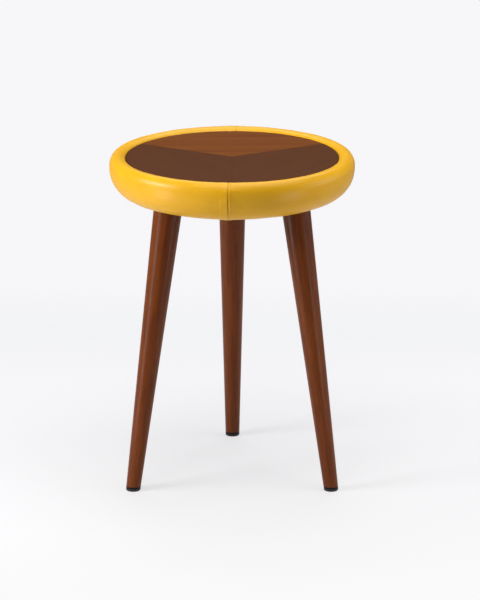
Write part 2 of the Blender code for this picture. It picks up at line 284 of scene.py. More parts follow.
def remove(*objects: Piece) -> None:
    """Takes objects out of the file."""
    for obj in objects:
        bpy.data.objects.remove(obj, do_unlink=True)


def empty_tree(owner: bpy.types.Material | bpy.types.World) -> Tree:
    """Gives a material or a world an empty node tree.

    Args:
        owner: What gets the tree.

    Returns:
        The tree.
    """
    owner.use_nodes = True
    owner.node_tree.nodes.clear()
    return owner.node_tree


def add_node(tree: Tree, kind: str, inputs: Inputs | None = None, **settings: object) -> Node:
    """Adds a node with its settings and links.

    Args:
        tree: Tree that gets the node.
        kind: Blender's identifier of the node type.
        inputs: By an input's name or number: its value, or the node or socket that feeds it.
        settings: The node's own properties.

    Returns:
        The new node.
    """
    node = tree.nodes.new(kind)
    for key, value in settings.items():
        setattr(node, key, value)
    for key, value in (inputs or {}).items():
        feed = value.outputs[0] if isinstance(value, Node) else value
        if isinstance(feed, Socket):
            tree.links.new(feed, node.inputs[key])
        else:
            node.inputs[key].default_value = feed
    return node


def figure(
    tree: Tree, coords: Node | Socket, size_mm: Triple, detail: float, rough: float = 0.5, bent: float = 0.0
) -> Node:
    """Draws a noise pattern whose features have a real size along each axis.

    Args:
        tree: The material's nodes.
        coords: Coordinates in metres.
        size_mm: A feature's size along X, Y and Z.
        detail: Finer layers in the noise.
        rough: Strength of each finer layer over the last.
        bent: Distortion of the pattern.

    Returns:
        The noise.
    """
    scale = [per_mm(size) for size in size_mm]
    drawn = add_node(tree, "ShaderNodeVectorMath", {0: coords, 1: scale}, operation="MULTIPLY")
    look = {"Scale": 1.0, "Detail": detail, "Roughness": rough, "Distortion": bent}
    return add_node(tree, "ShaderNodeTexNoise", {"Vector": drawn, **look})


def tint(
    tree: Tree,
    under: str | Socket,
    code: str,
    pattern: Node | Socket,
    low: float = 0.0,
    high: float = 1.0,
    most: float = 1.0,
) -> Socket:
    """Colours a surface where a pattern rises.

    Args:
        tree: The material's nodes.
        under: Colour below, as sRGB hex or a socket.
        code: Colour that the pattern brings.
        pattern: The pattern.
        low: Its value where the colour starts.
        high: Its value where the colour is strongest.
        most: The colour's share there.

    Returns:
        The mixed colour.
    """
    span = {"Value": pattern, "From Min": low, "From Max": high, "To Max": most}
    share = add_node(tree, "ShaderNodeMapRange", span)
    below = linear(under) if isinstance(under, str) else under
    mix = add_node(tree, "ShaderNodeMix", {0: share, 6: below, 7: linear(code)}, data_type="RGBA")
    return mix.outputs[2]


@dataclass(frozen=True)
class Finish:
    """A procedural surface, made into one material when a piece first asks for it."""

    name: str

    def material(self) -> bpy.types.Material:
        """Makes the material, or finds the one that an earlier piece asked for.

        Returns:
            The material.
        """
        found = bpy.data.materials.get(self.name)
        if found is None:
            found = bpy.data.materials.new(self.name)
            tree = empty_tree(found)
            coords = add_node(tree, "ShaderNodeTexCoord").outputs["Object"]
            shader = add_node(tree, "ShaderNodeBsdfPrincipled", self.paint(tree, coords))
            add_node(tree, "ShaderNodeOutputMaterial", {"Surface": shader})
        return found

    def paint(self, tree: Tree, coords: Socket) -> Inputs:
        """Adds the finish's own nodes.

        Args:
            tree: The material's nodes.
            coords: Object coordinates, in metres.

        Returns:
            Inputs of the Principled shader.
        """
        raise NotImplementedError


@dataclass(frozen=True)
class PigmentedCowhide(Finish):
    """Pigmented upholstery cowhide: even colour, fine flat pebble grain and a soft, broad gloss."""

    colour: str = "#e4a91a"
    worn: str = "#e9b022"  # handled patches, a little paler
    worn_span: Pair = (0.42, 0.68)  # of the mottle
    crease: str = "#a5690f"  # painted shade and dust down in a seam
    mottle_mm: float = 70.0
    grain_mm: float = 1.1
    grain_slope: float = 0.22  # from a pebble's edge to its flat top
    pore_mm: float = 0.35
    relief: Pair = (0.22, 0.10)  # of pebbles and of pores
    gloss_span: Pair = (0.3, 0.7)  # of the mottle
    roughness: Pair = (0.38, 0.46)
    specular: float = 0.15  # a matt top coat takes off some of the gloss
    film: Pair = (0.25, 0.27)  # thin glossy film over it: weight, roughness

    def paint(self, tree: Tree, coords: Socket) -> Inputs:
        """Adds mottled colour, painted shade and dust in the seams, pebble grain and pores.

        Args:
            tree: The material's nodes.
            coords: Object coordinates.

        Returns:
            The shader's inputs.
        """
        mottle = figure(tree, coords, (self.mottle_mm,) * 3, 5.0, 0.6)
        body = tint(tree, self.colour, self.worn, mottle, *self.worn_span)
        seam = add_node(tree, "ShaderNodeAttribute", attribute_name=SEAM_SHADE_AND_DUST).outputs["Fac"]
        cells = {"Vector": coords, "Scale": per_mm(self.grain_mm), "Randomness": 0.9}
        pebble = add_node(tree, "ShaderNodeTexVoronoi", cells, feature="DISTANCE_TO_EDGE")
        slope = {"Value": pebble.outputs["Distance"], "From Max": self.grain_slope}
        flat = add_node(tree, "ShaderNodeMapRange", slope)
        pore = figure(tree, coords, (self.pore_mm,) * 3, 2.0)
        pits = {"Height": pore, "Strength": self.relief[1], "Distance": BUMP_DEPTH}
        fine = add_node(tree, "ShaderNodeBump", pits)
        bump = {"Height": flat, "Strength": self.relief[0], "Distance": BUMP_DEPTH, "Normal": fine}
        gloss = dict(zip(RANGE, self.gloss_span + self.roughness), Value=mottle)
        return {
            "Base Color": tint(tree, body, self.crease, seam),
            "Roughness": add_node(tree, "ShaderNodeMapRange", gloss),
            "Normal": add_node(tree, "ShaderNodeBump", bump),
            "IOR": 1.48,
            "Coat Weight": self.film[0],
            "Coat Roughness": self.film[1],
            "Specular IOR Level": self.specular,
        }


@dataclass(frozen=True)
class GrainLayer:
    """One scale of wood grain: its size, and the span of noise over which it colours the wood."""

    along_mm: float
    across_mm: float
    low: float
    high: float
    most: float = 1.0


@dataclass(frozen=True)
class GrainedWood(Finish):
    """Wood under a thin clear coat, with its figure drawn out along the grain."""

    colour: str
    streak: str  # of the bands
    line: str  # of the fibres and pores
    bands: GrainLayer
    fibres: GrainLayer
    pores: GrainLayer
    noise: Triple  # detail, roughness and distortion of each layer
    grain_axis: int
    relief: float
    roughness: Pair
    specular: float
    turn: Triple = (0.0, 0.0, 0.0)  # brings the grain to its axis
    shift: Triple = (0.0, 0.0, 0.0)  # metres, so that each piece has its own figure

    def paint(self, tree: Tree, coords: Socket) -> Inputs:
        """Adds bands, fibres and pores.

        Args:
            tree: The material's nodes.
            coords: Object coordinates.

        Returns:
            The shader's inputs.
        """
        place = {"Vector": coords, "Location": self.shift, "Rotation": self.turn}
        laid = add_node(tree, "ShaderNodeMapping", place)
        colour, patterns = self.colour, []
        for layer, code in ((self.bands, self.streak), (self.fibres, self.line), (self.pores, self.line)):
            size = [layer.across_mm] * 3
            size[self.grain_axis] = layer.along_mm
            patterns.append(figure(tree, laid, size, *self.noise))
            colour = tint(tree, colour, code, patterns[-1], layer.low, layer.high, layer.most)
        fibres = patterns[1]
        gloss = dict(zip(RANGE, (0.0, 1.0, *self.roughness)), Value=fibres)
        bump = {"Height": fibres, "Strength": self.relief, "Distance": BUMP_DEPTH}
        return {
            "Base Color": colour,
            "Roughness": add_node(tree, "ShaderNodeMapRange", gloss),
            "Normal": add_node(tree, "ShaderNodeBump", bump),
            "IOR": 1.5,
            "Specular IOR Level": self.specular,
        }


@dataclass(frozen=True)
class LacqueredVeneer(GrainedWood):
    """Sliced veneer under satin lacquer: broad streaks, fibre lines and short dark pores."""

    colour: str = "#52301b"
    streak: str = "#55311c"
    line: str = "#4a2a17"
    bands: GrainLayer = GrainLayer(420.0, 24.0, 0.40, 0.62)
    fibres: GrainLayer = GrainLayer(90.0, 1.8, 0.50, 0.78, 0.55)  # drawn coarse, or they would not show
    pores: GrainLayer = GrainLayer(9.0, 0.5, 0.60, 0.72, 0.5)
    noise: Triple = (4.0, 0.55, 0.25)
    grain_axis: int = 0
    relief: float = 0.06
    roughness: Pair = (0.46, 0.54)
    specular: float = 0.04  # oiled, with hardly any film


@dataclass(frozen=True)
class StainedBeech(GrainedWood):
    """Turned beech in walnut stain and satin lacquer: long darker streaks, short flecks, a soft sheen."""

    colour: str = "#662e0c"
    streak: str = "#763a10"
    line: str = "#3d1604"
    bands: GrainLayer = GrainLayer(130.0, 9.0, 0.36, 0.66)
    fibres: GrainLayer = GrainLayer(45.0, 1.3, 0.48, 0.75, 0.6)
    pores: GrainLayer = GrainLayer(5.0, 0.7, 0.62, 0.74, 0.4)
    noise: Triple = (3.0, 0.5, 0.3)
    grain_axis: int = 2
    relief: float = 0.08
    roughness: Pair = (0.28, 0.38)
    specular: float = 0.18
    sealed: str = "#100a08"  # painted shade: a near-black band just above the glide
    sealed_height: Pair = (0.0088, 0.0066)  # where it starts and where it is full

    def paint(self, tree: Tree, coords: Socket) -> Inputs:
        """Adds painted shade, a near-black band at the foot, to the grain.

        Args:
            tree: The material's nodes.
            coords: Object coordinates.

        Returns:
            The shader's inputs.
        """
        shader = super().paint(tree, coords)
        height = add_node(tree, "ShaderNodeSeparateXYZ", {0: coords}).outputs["Z"]
        shader["Base Color"] = tint(tree, shader["Base Color"], self.sealed, height, *self.sealed_height)
        return shader


@dataclass(frozen=True)
class BirchPlywood(Finish):
    """Sanded birch plywood: pale faces with faint grain, and thin brown glue lines on the edges."""

    colour: str = "#d9b98a"
    late: str = "#c49a64"
    glue: str = "#8a5a32"
    glue_span: Pair = (0.9, 1.0)  # of the wave from one line to the next
    glue_mm: float = 9.425  # between glue lines, drawn coarse so that they show
    wave_span: float = TAU / 20.0  # of Blender's wave pattern at a scale of 1
    grain_mm: Triple = (120.0, 3.0, 1000.0)
    relief: Pair = (0.1, 0.0002)  # strength, depth

    def paint(self, tree: Tree, coords: Socket) -> Inputs:
        """Adds face grain and the layers that show on an edge.

        Args:
            tree: The material's nodes.
            coords: Object coordinates.

        Returns:
            The shader's inputs.
        """
        grain = figure(tree, coords, self.grain_mm, 4.0)
        wave = {"Vector": coords, "Scale": per_mm(self.glue_mm) * self.wave_span, "Distortion": 0.4}
        layers = add_node(tree, "ShaderNodeTexWave", wave, bands_direction="Z").outputs["Fac"]
        face = tint(tree, self.colour, self.late, grain)
        bump = {"Height": grain, "Strength": self.relief[0], "Distance": self.relief[1]}
        return {
            "Base Color": tint(tree, face, self.glue, layers, *self.glue_span),
            "Normal": add_node(tree, "ShaderNodeBump", bump),
            "Roughness": 0.7,
        }


@dataclass(frozen=True)
class SpeckledStock(Finish):
    """Stock with a fine two-tone speckle in colour and relief, such as board, foam, felt or plastic."""

    colour: str
    speck: str
    speck_mm: float
    roughness: float
    bump: float = 0.2
    drawn_out: float = 1.0  # a speck's length along X over its width
    span: Pair = (0.35, 0.65)  # of the noise over which the colour changes
    depth: float = 0.25 / 1000.0  # metres of relief for each mm of a speck

    def paint(self, tree: Tree, coords: Socket) -> Inputs:
        """Adds the speckle in colour and in relief.

        Args:
            tree: The material's nodes.
            coords: Object coordinates.

        Returns:
            The shader's inputs.
        """
        size = (self.speck_mm * self.drawn_out, self.speck_mm, self.speck_mm)
        speckle = figure(tree, coords, size, 3.0, 0.6)
        bump = {"Height": speckle, "Strength": self.bump, "Distance": self.speck_mm * self.depth}
        return {
            "Base Color": tint(tree, self.colour, self.speck, speckle, *self.span),
            "Normal": add_node(tree, "ShaderNodeBump", bump),
            "Roughness": self.roughness,
        }


@dataclass(frozen=True)
class ZincPlatedSteel(Finish):
    """Zinc plated pressed steel: bright grey with a cloudy bluish bloom that also breaks up its gloss."""

    colour: str = "#c3c6c9"
    bloom: str = "#a9b0b8"
    cloud_mm: float = 6.0
    gloss_span: Pair = (0.3, 0.7)
    roughness: Pair = (0.28, 0.45)

    def paint(self, tree: Tree, coords: Socket) -> Inputs:
        """Adds the cloudy bloom in colour and in gloss.

        Args:
            tree: The material's nodes.
            coords: Object coordinates.

        Returns:
            The shader's inputs.
        """
        cloud = figure(tree, coords, (self.cloud_mm,) * 3, 5.0)
        gloss = dict(zip(RANGE, self.gloss_span + self.roughness), Value=cloud)
        return {
            "Base Color": tint(tree, self.colour, self.bloom, cloud),
            "Roughness": add_node(tree, "ShaderNodeMapRange", gloss),
            "Metallic": 1.0,
        }


# Fibreboard is pressed wood dust, so it is an even mid brown with a fine speckle.
FIBREBOARD = SpeckledStock("raw_fibreboard", "#a5835c", "#8f6e4a", 0.8, 0.85)
# Cut polyurethane foam is pale cream and pitted with open cells under a millimetre wide.
FOAM = SpeckledStock("polyurethane_foam", "#eee6cf", "#d6caa8", 0.9, 0.95, 0.6)
# Spunbonded polypropylene is a matt black felt of fine fibres.
DUST_CLOTH = SpeckledStock("spunbonded_polypropylene", "#1a1a1b", "#2b2b2d", 0.8, 0.9, 0.5, 3.0)
# Moulded nylon is deep black with a faint spark-eroded texture that breaks up its gloss.
MOULDED_NYLON = SpeckledStock("moulded_black_nylon", "#111112", "#18181a", 0.6, 0.42, 0.15)
LEATHER = PigmentedCowhide("pigmented_cowhide")
PLYWOOD = BirchPlywood("birch_plywood")
STEEL = ZincPlatedSteel("zinc_plated_steel")


def show(obj: Piece, finish: Finish, slot: Slot, *nodes: str) -> Piece:
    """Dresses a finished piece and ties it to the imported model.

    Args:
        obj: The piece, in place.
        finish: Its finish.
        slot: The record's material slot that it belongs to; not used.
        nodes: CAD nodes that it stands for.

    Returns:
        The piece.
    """
    obj.data.materials.clear()
    obj.data.materials.append(finish.material())
    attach(obj, BODY)
    if nodes:
        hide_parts(*nodes)
    LOG.info("%s: %d faces, %s", obj.name, len(obj.data.polygons), finish.name)
    return obj


def dress_node(node: Piece, finish: Finish) -> None:
    """Gives a CAD node that stays in view its finish.

    Args:
        node: The node.
        finish: Its finish.
    """
    for item in node.material_slots:
        item.material = finish.material()
    LOG.info("%s: packed shape, %s", node.name, finish.name)


@dataclass(frozen=True)
class Section:
    """Half section of the cover's good side, from its clamped edge to its stapled edge."""

    radius: np.ndarray
    height: np.ndarray
    normal: np.ndarray  # (radial, upward) for each point
    along: np.ndarray  # metres from the clamped edge

    @classmethod
    def through(cls, profile: Profile | np.ndarray) -> Section:
        """Works out the normals and lengths of a profile.

        Args:
            profile: (radius, height) points.

        Returns:
            The section.
        """
        line = np.array(profile)
        along = np.concatenate([[0.0], np.cumsum(np.linalg.norm(np.diff(line, axis=0), axis=1))])
        heading = np.gradient(line, along, axis=0)
        heading /= np.linalg.norm(heading, axis=1, keepdims=True)
        return cls(line[:, 0], line[:, 1], np.stack([-heading[:, 1], heading[:, 0]], axis=1), along)

    def evenly(self, count: int) -> Section:
        """Resamples the section at even steps.

        Args:
            count: Points to have.

        Returns:
            The new section.
        """
        at = np.linspace(0.0, self.along[-1], count)
        parts = [np.interp(at, self.along, part) for part in (self.radius, self.height)]
        return Section.through(np.stack(parts, axis=1))

    def surface(self, azimuth: np.ndarray, lift: np.ndarray) -> np.ndarray:
        """Places points round the ring.

        Args:
            azimuth: Angle of each column.
            lift: Metres outwards, one row for each point of the section.

        Returns:
            Points as rows, columns and coordinates.
        """
        radius = self.radius[:, None] + lift * self.normal[:, :1]
        height = self.height[:, None] + lift * self.normal[:, 1:]
        return polar(radius, azimuth, height)


@dataclass
class PaddedRim:
    """The foam ring and the two halves of its sewn leather cover."""

    wall_radius: float = 0.1738
    clamped: float = 0.0200  # cover's edge under the top panel
    held: float = 0.0260  # the same and the bend above it
    corner: float = 0.0012  # bend at the foot of the inner wall
    seat_height: float = 0.5307
    ring_radius: float = 0.2000
    crown_radius: float = 0.1877
    crown_height: float = 0.5459
    inner_roll: float = 0.0080
    widest_height: float = 0.5274
    tuck_radius: float = 0.1522
    tuck_power: float = 2.2  # the cover's lower part is fuller than an ellipse
    base_height: float = 0.4789
    end_radius: float = 0.1477
    flange_shares: Triple = (0.33, 0.66, 1.0)  # points of the stapled flange
    curve_steps: tuple[int, ...] = (4, 20, 22, 46)  # of the bend, the inner roll, the shoulder and the tuck
    leather: float = 0.0014
    foam_inset: float = 0.0031  # foam's face below the leather's good side
    foam_base: float = 0.5167  # foam's inner ledge under the top board
    foam_wall: float = 0.1755
    foam_steps: int = 180
    wall_start: float = 0.5312  # height from which the cover lies against the wood
    wall_end: Pair = (0.5383, 0.5411)  # heights between which it comes free of the wood
    seam_azimuth: float = math.radians(88.2)  # back seam, with the front one opposite
    seam_gap: float = 0.00006
    seam_groove: Pair = (0.0006, 0.0010)  # depth, half width
    seam_shade: float = 0.0008  # half width of its dark line of painted shade and dust
    seam_bulk: Pair = (0.0016, 0.022)  # swelling over the allowance: height, spread
    bulk_start: float = 0.0120  # depth below the crown at which it is full
    back_bulk: float = 0.4  # of the front's
    seam_middle: Pair = (0.5120, 0.0170)  # height at which a seam is deepest, and spread
    seam_least: float = 0.35  # of its depth, away from there
    rolled_edge: Triple = (0.00050, 0.0030, 0.0012)  # height, distance, spread, on the right half
    allowance: Triple = (0.00030, 0.0125, 0.0012)  # height, width, half width of its edge, on the left half
    pucker: Pair = (0.00020, 0.010)  # height, reach
    pucker_lengths: Triple = (0.0085, 0.0130, 0.0210)
    pucker_seeds: tuple[int, int] = (7, 11)  # left, right
    wave_height: float = 0.00016 / 3.0
    waves: tuple[Pair, ...] = ((5, 27.0), (9, -42.0), (14, 66.0), (23, -90.0), (31, 51.0))  # round, slant
    wave_seed: int = 23
    gather: float = 0.0006
    gather_reach: Pair = (0.0130, 0.030)  # upwards and outwards from the stapled edge
    pleats: int = 84
    pleat_drift: tuple[Triple, ...] = ((0.35, 5.0, 0.8), (0.22, 13.0, 2.1))  # turns, waves round, phase
    pleat_swing: Triple = (0.4, 17.0, 0.3)  # share of a pleat's height, waves round, phase
    pleat_gap: float = 0.15
    pleat_power: float = 1.3
    deepest: Pair = (0.0019, 0.0003)  # most that the cover sinks in: on its face and over the board
    board_rise: float = 0.0040  # height over which it comes clear of the board
    edge_columns: int = 26
    edge_angle: float = math.radians(5.0)
    edge_crowding: float = 1.7
    middle_columns: int = 190
    shell_edge: float = 60.0  # degrees
    sim_columns: int = 109
    sim_rows: int = 38
    sim_frames: int = 20
    sim_seed: int = 5
    pressure: float = 4.0
    slack: float = 0.0010  # the simulated cover starts this much smaller
    slack_ease: Pair = (0.03, 0.012)  # length over which that starts, from the clamped and the stapled edge
    staple_pull: float = 0.0016  # most
    most_swell: float = 0.0006
    swell_share: float = 0.6  # of the simulated swelling, since the foam is firm

    def section(self) -> Section:
        """Draws the half section that was fitted to the photograph.

        Returns:
            The section.
        """
        bend = (self.wall_radius - self.corner, self.seat_height + self.corner)
        roll = (self.crown_radius, self.crown_height - self.inner_roll)
        rolled = (self.crown_radius - self.wall_radius, self.inner_roll)
        shoulder = (self.ring_radius - self.crown_radius, self.crown_height - self.widest_height)
        low = (self.tuck_radius, self.widest_height)
        tuck = (self.ring_radius - self.tuck_radius, self.widest_height - self.base_height)
        flange = self.end_radius - self.tuck_radius
        bent, inward, outward, under = self.curve_steps
        profile = [(self.wall_radius - self.clamped, self.seat_height)]
        profile += elliptic(bend, (self.corner, self.corner), -90.0, 0.0, bent)
        profile += elliptic(roll, rolled, 180.0, 90.0, inward)
        profile += elliptic((self.crown_radius, self.widest_height), shoulder, 90.0, 0.0, outward)[1:]
        profile += elliptic(low, tuck, 0.0, -90.0, under, self.tuck_power)[1:]
        profile += [(self.tuck_radius + share * flange, self.base_height) for share in self.flange_shares]
        return Section.through(profile)

    def start_of(self, half: Half) -> float:
        """Gives the azimuth at which a half starts: the left one at the back seam."""
        return self.seam_azimuth + (0.0 if half is Half.LEFT else math.pi)

    def columns(self) -> np.ndarray:
        """Spaces a half's columns, close together beside its seams.

        Returns:
            Angles from the half's start.
        """
        near = self.edge_angle * (np.arange(self.edge_columns) / self.edge_columns) ** self.edge_crowding
        middle = np.linspace(self.edge_angle, math.pi - self.edge_angle, self.middle_columns)
        return np.concatenate([near, middle, (math.pi - near)[::-1]])

    def free(self, section: Section) -> np.ndarray:
        """Weighs each point of the section.

        Args:
            section: The half section.

        Returns:
            0 where the panel clamps the leather, 1 where it is free.
        """
        wall = (section.radius < self.crown_radius) & (section.height > self.wall_start)
        rising = ramp(section.height, *self.wall_end)
        return np.where(wall, rising, 1.0) * np.where(section.along < self.clamped, 0.0, 1.0)

    def seam_face(self, section: Section) -> np.ndarray:
        """Weighs each point of the section: 1 on the upright face, where a seam shows most."""
        away = (section.height - self.seam_middle[0]) / self.seam_middle[1]
        return self.seam_least + (1.0 - self.seam_least) * np.exp(-(away**2))

    def seam_relief(self, section: Section, angle: np.ndarray, half: Half) -> np.ndarray:
        """Shapes the leather beside the seams.

        Args:
            section: The half section.
            angle: Angle of each column from the half's start.
            half: Which half it is.

        Returns:
            Metres outwards, one row for each point of the section.
        """
        right = half is Half.RIGHT
        draw = np.random.default_rng(self.pucker_seeds[right])
        lift = np.zeros((len(section.radius), len(angle)))
        face = self.seam_face(section)[:, None]
        side = ramp(section.height, self.crown_height, self.crown_height - self.bulk_start)[:, None]
        for at_start in (True, False):
            distance = section.radius[:, None] * (angle if at_start else math.pi - angle)
            bulk, spread = self.seam_bulk
            bulk *= 1.0 if at_start is right else self.back_bulk
            lift += side * bulk * np.exp(-distance / spread)
            depth, width = self.seam_groove
            lift -= face * depth * np.exp(-((distance / width) ** 2))
            if right:
                height, middle, width = self.rolled_edge
                lift += height * np.exp(-(((distance - middle) / width) ** 2))
            else:
                height, width, edge = self.allowance
                lift += height * (1.0 - ramp(distance, width - edge, width + edge))
            height, reach = self.pucker
            waves = [np.sin(TAU * (section.along / size + draw.random())) for size in self.pucker_lengths]
            lift += height * np.mean(waves, axis=0)[:, None] * np.exp(-distance / reach)
        return lift

    def gathers(self, section: Section, azimuth: np.ndarray) -> np.ndarray:
        """Gathers the leather into pleats towards its stapled edge.

        Args:
            section: The half section.
            azimuth: Angle of each column.

        Returns:
            Metres outwards.
        """
        up, out = self.gather_reach
        low = ramp(section.height, self.base_height + up, self.base_height)
        low *= ramp(section.radius, self.tuck_radius + out, self.tuck_radius)
        drift = sum(share * np.sin(count * azimuth + phase) for share, count, phase in self.pleat_drift)
        wave = np.cos(self.pleats * azimuth + TAU * drift)
        swing, count, phase = self.pleat_swing
        tall = 1.0 - swing + swing * np.sin(count * azimuth + phase)
        pleat = np.clip(wave - self.pleat_gap, 0.0, None) ** self.pleat_power * tall
        return self.gather * low[:, None] * pleat

    def broad_relief(self, section: Section, azimuth: np.ndarray) -> np.ndarray:
        """Adds the slight unevenness of hand-stretched leather.

        Args:
            section: The half section.
            azimuth: Angle of each column.

        Returns:
            Metres outwards.
        """
        draw = np.random.default_rng(self.wave_seed)
        lift = np.zeros((len(section.radius), len(azimuth)))
        for count, slant in self.waves:
            lift += np.sin(count * azimuth + slant * section.along[:, None] + TAU * draw.random())
        return self.wave_height * lift

    def swell(self, section: Section) -> dict[Half, np.ndarray]:
        """Blows the cover up over its pinned edges and seams with Blender's Cloth.

        Both halves start a little small, with their seams, clamped edges and stapled edges
        pinned, and the staples pulled unevenly. Each row's own median is taken out of the result,
        so that the section stays as fitted and the simulation gives what varies round the ring.

        Args:
            section: The half section.

        Returns:
            Metres outwards for each half, on the half's own rows and columns.
        """
        fine = self.columns()
        coarse = section.evenly(self.sim_rows)
        turn = np.linspace(0.0, math.pi, self.sim_columns)
        draw = np.random.default_rng(self.sim_seed)
        first, last = self.slack_ease
        end = coarse.along[-1]
        edge = ramp(coarse.along, 0.0, first) * ramp(coarse.along, end, end - last)
        lift = np.repeat(-self.slack * edge[:, None], self.sim_columns, axis=1)
        size = self.sim_rows * self.sim_columns
        points, faces, pinned = [], [], []
        for number, half in enumerate(Half):
            start = coarse.surface(self.start_of(half) + turn, lift)
            pull = self.staple_pull * draw.random(self.sim_columns)
            start[-1, :, :2] *= (1.0 - pull / np.linalg.norm(start[-1, :, :2], axis=1))[:, None]
            points.append(start.reshape(-1, 3))
            faces += grid_faces(self.sim_rows, self.sim_columns, number * size)
            grid = number * size + np.arange(size).reshape(self.sim_rows, -1)
            held = grid[: int(np.searchsorted(coarse.along, self.held))]
            for still in (held, grid[-1], grid[:, 0], grid[:, -1]):
                pinned += still.ravel().tolist()
        cover = smooth(add_mesh("cover_before_stuffing", np.concatenate(points), faces))
        group = cover.vertex_groups.new(name="pinned")
        group.add(pinned, 1.0, "REPLACE")
        result = {}
        for half, moved in zip(Half, np.split(self.simulate(cover, group.name), len(Half))):
            place = moved.reshape(self.sim_rows, self.sim_columns, 3)
            out = np.hypot(place[..., 0], place[..., 1]) - coarse.radius[:, None]
            up = place[..., 2] - coarse.height[:, None]
            lift = out * coarse.normal[:, :1] + up * coarse.normal[:, 1:]
            lift -= np.median(lift, axis=1, keepdims=True)
            lift = np.clip(self.swell_share * lift, -self.most_swell, self.most_swell)
            rows = np.stack([np.interp(fine, turn, row) for row in lift])
            swell = np.stack([np.interp(section.along, coarse.along, column) for column in rows.T], axis=1)
            result[half] = swell
            LOG.info("cloth, %s half: %.2f to %.2f mm", half.value, 1e3 * swell.min(), 1e3 * swell.max())
        return result

    def simulate(self, cover: Piece, pins: str) -> np.ndarray:
        """Runs Cloth on the cover and removes it.

        Args:
            cover: The cover as it is before the foam fills it.
            pins: Name of its vertex group that holds still.

        Returns:
            Where its points come to rest.
        """
        cloth = cover.modifiers.new("stuffing", "CLOTH")
        for name, value in STIFF_LEATHER.items():
            setattr(cloth.settings, name, value)
        cloth.settings.vertex_group_mass = pins
        cloth.settings.uniform_pressure_force = self.pressure
        cloth.settings.effector_weights.gravity = 0.0
        cloth.point_cache.frame_start = 1
        cloth.point_cache.frame_end = self.sim_frames
        for frame in range(1, self.sim_frames + 1):
            bpy.context.scene.frame_set(frame)
        mesh = as_mesh(cover)
        moved = np.zeros(len(mesh.vertices) * 3)
        mesh.vertices.foreach_get("co", moved)
        remove(cover)
        bpy.context.scene.frame_set(1)
        return moved.reshape(-1, 3)

    def build_cover(self, half: Half, section: Section, swell: np.ndarray) -> Piece:
        """Makes one half of the cover, a closed shell of the leather's thickness.

        Args:
            half: Which half.
            section: The half section.
            swell: What the simulation adds, in metres outwards.

        Returns:
            The half, dressed.
        """
        angle = self.columns()
        trim = self.seam_gap / 2.0 / self.end_radius
        azimuth = self.start_of(half) + trim + angle * (math.pi - 2.0 * trim) / math.pi
        free = self.free(section)[:, None]
        lift = self.seam_relief(section, angle, half) + self.broad_relief(section, azimuth) + swell
        under = ramp(section.height, self.base_height + self.board_rise, self.base_height)[:, None]
        lift = np.maximum(lift, -self.deepest[0] * (1.0 - under) - self.deepest[1] * under)
        lift = free * (lift + self.gathers(section, azimuth))
        points = np.stack([section.surface(azimuth, lift - inset) for inset in (0.0, self.leather)])
        rows, columns = lift.shape
        good = grid_faces(rows, columns)
        back = [[lift.size + i for i in face[::-1]] for face in good]
        number = np.arange(lift.size).reshape(rows, columns)
        rim = np.concatenate([number[0, ::-1], number[1:, 0], number[-1, 1:], number[-2:0:-1, -1]]).tolist()
        edge = [(b, a, a + lift.size, b + lift.size) for a, b in zip(rim, rim[1:] + rim[:1])]
        mesh = add_mesh(f"leather_cover_{half.value}", points, good + back + edge)
        # Painted shade and dust along each seam, strongest on the upright face.
        distance = section.radius[:, None] * np.minimum(angle, math.pi - angle)
        crease = np.exp(-((distance / self.seam_shade) ** 2)) * free * self.seam_face(section)[:, None]
        layer = mesh.attributes.new(SEAM_SHADE_AND_DUST, "FLOAT", "POINT")
        layer.data.foreach_set("value", np.tile(crease.ravel(), 2).astype(np.float32))
        cover = smooth(mesh, self.shell_edge)
        show(cover, LEATHER, Slot.LEATHER, f"leather_{half.value}")
        return cover

    def build_foam(self, section: Section) -> Piece:
        """Makes the foam ring that fills the cover.

        Args:
            section: The cover's half section.

        Returns:
            The ring, dressed.
        """
        line = np.stack([section.radius, section.height], axis=1) - self.foam_inset * section.normal
        line = line[section.along > self.held]
        line = line[(line[:, 0] > self.tuck_radius) | (line[:, 1] > self.foam_base)]
        curve = [*line, (self.tuck_radius, self.foam_base), (self.foam_wall, self.foam_base), line[0]]
        ring = turned("foam_filling", curve, self.foam_steps)
        show(ring, FOAM, Slot.FOAM, "foam_ring")
        return ring

    def build(self) -> None:
        """Makes the foam and both halves of the cover."""
        section = self.section()
        swell = self.swell(section)
        for half in Half:
            self.build_cover(half, section, swell[half])
        self.build_foam(section)


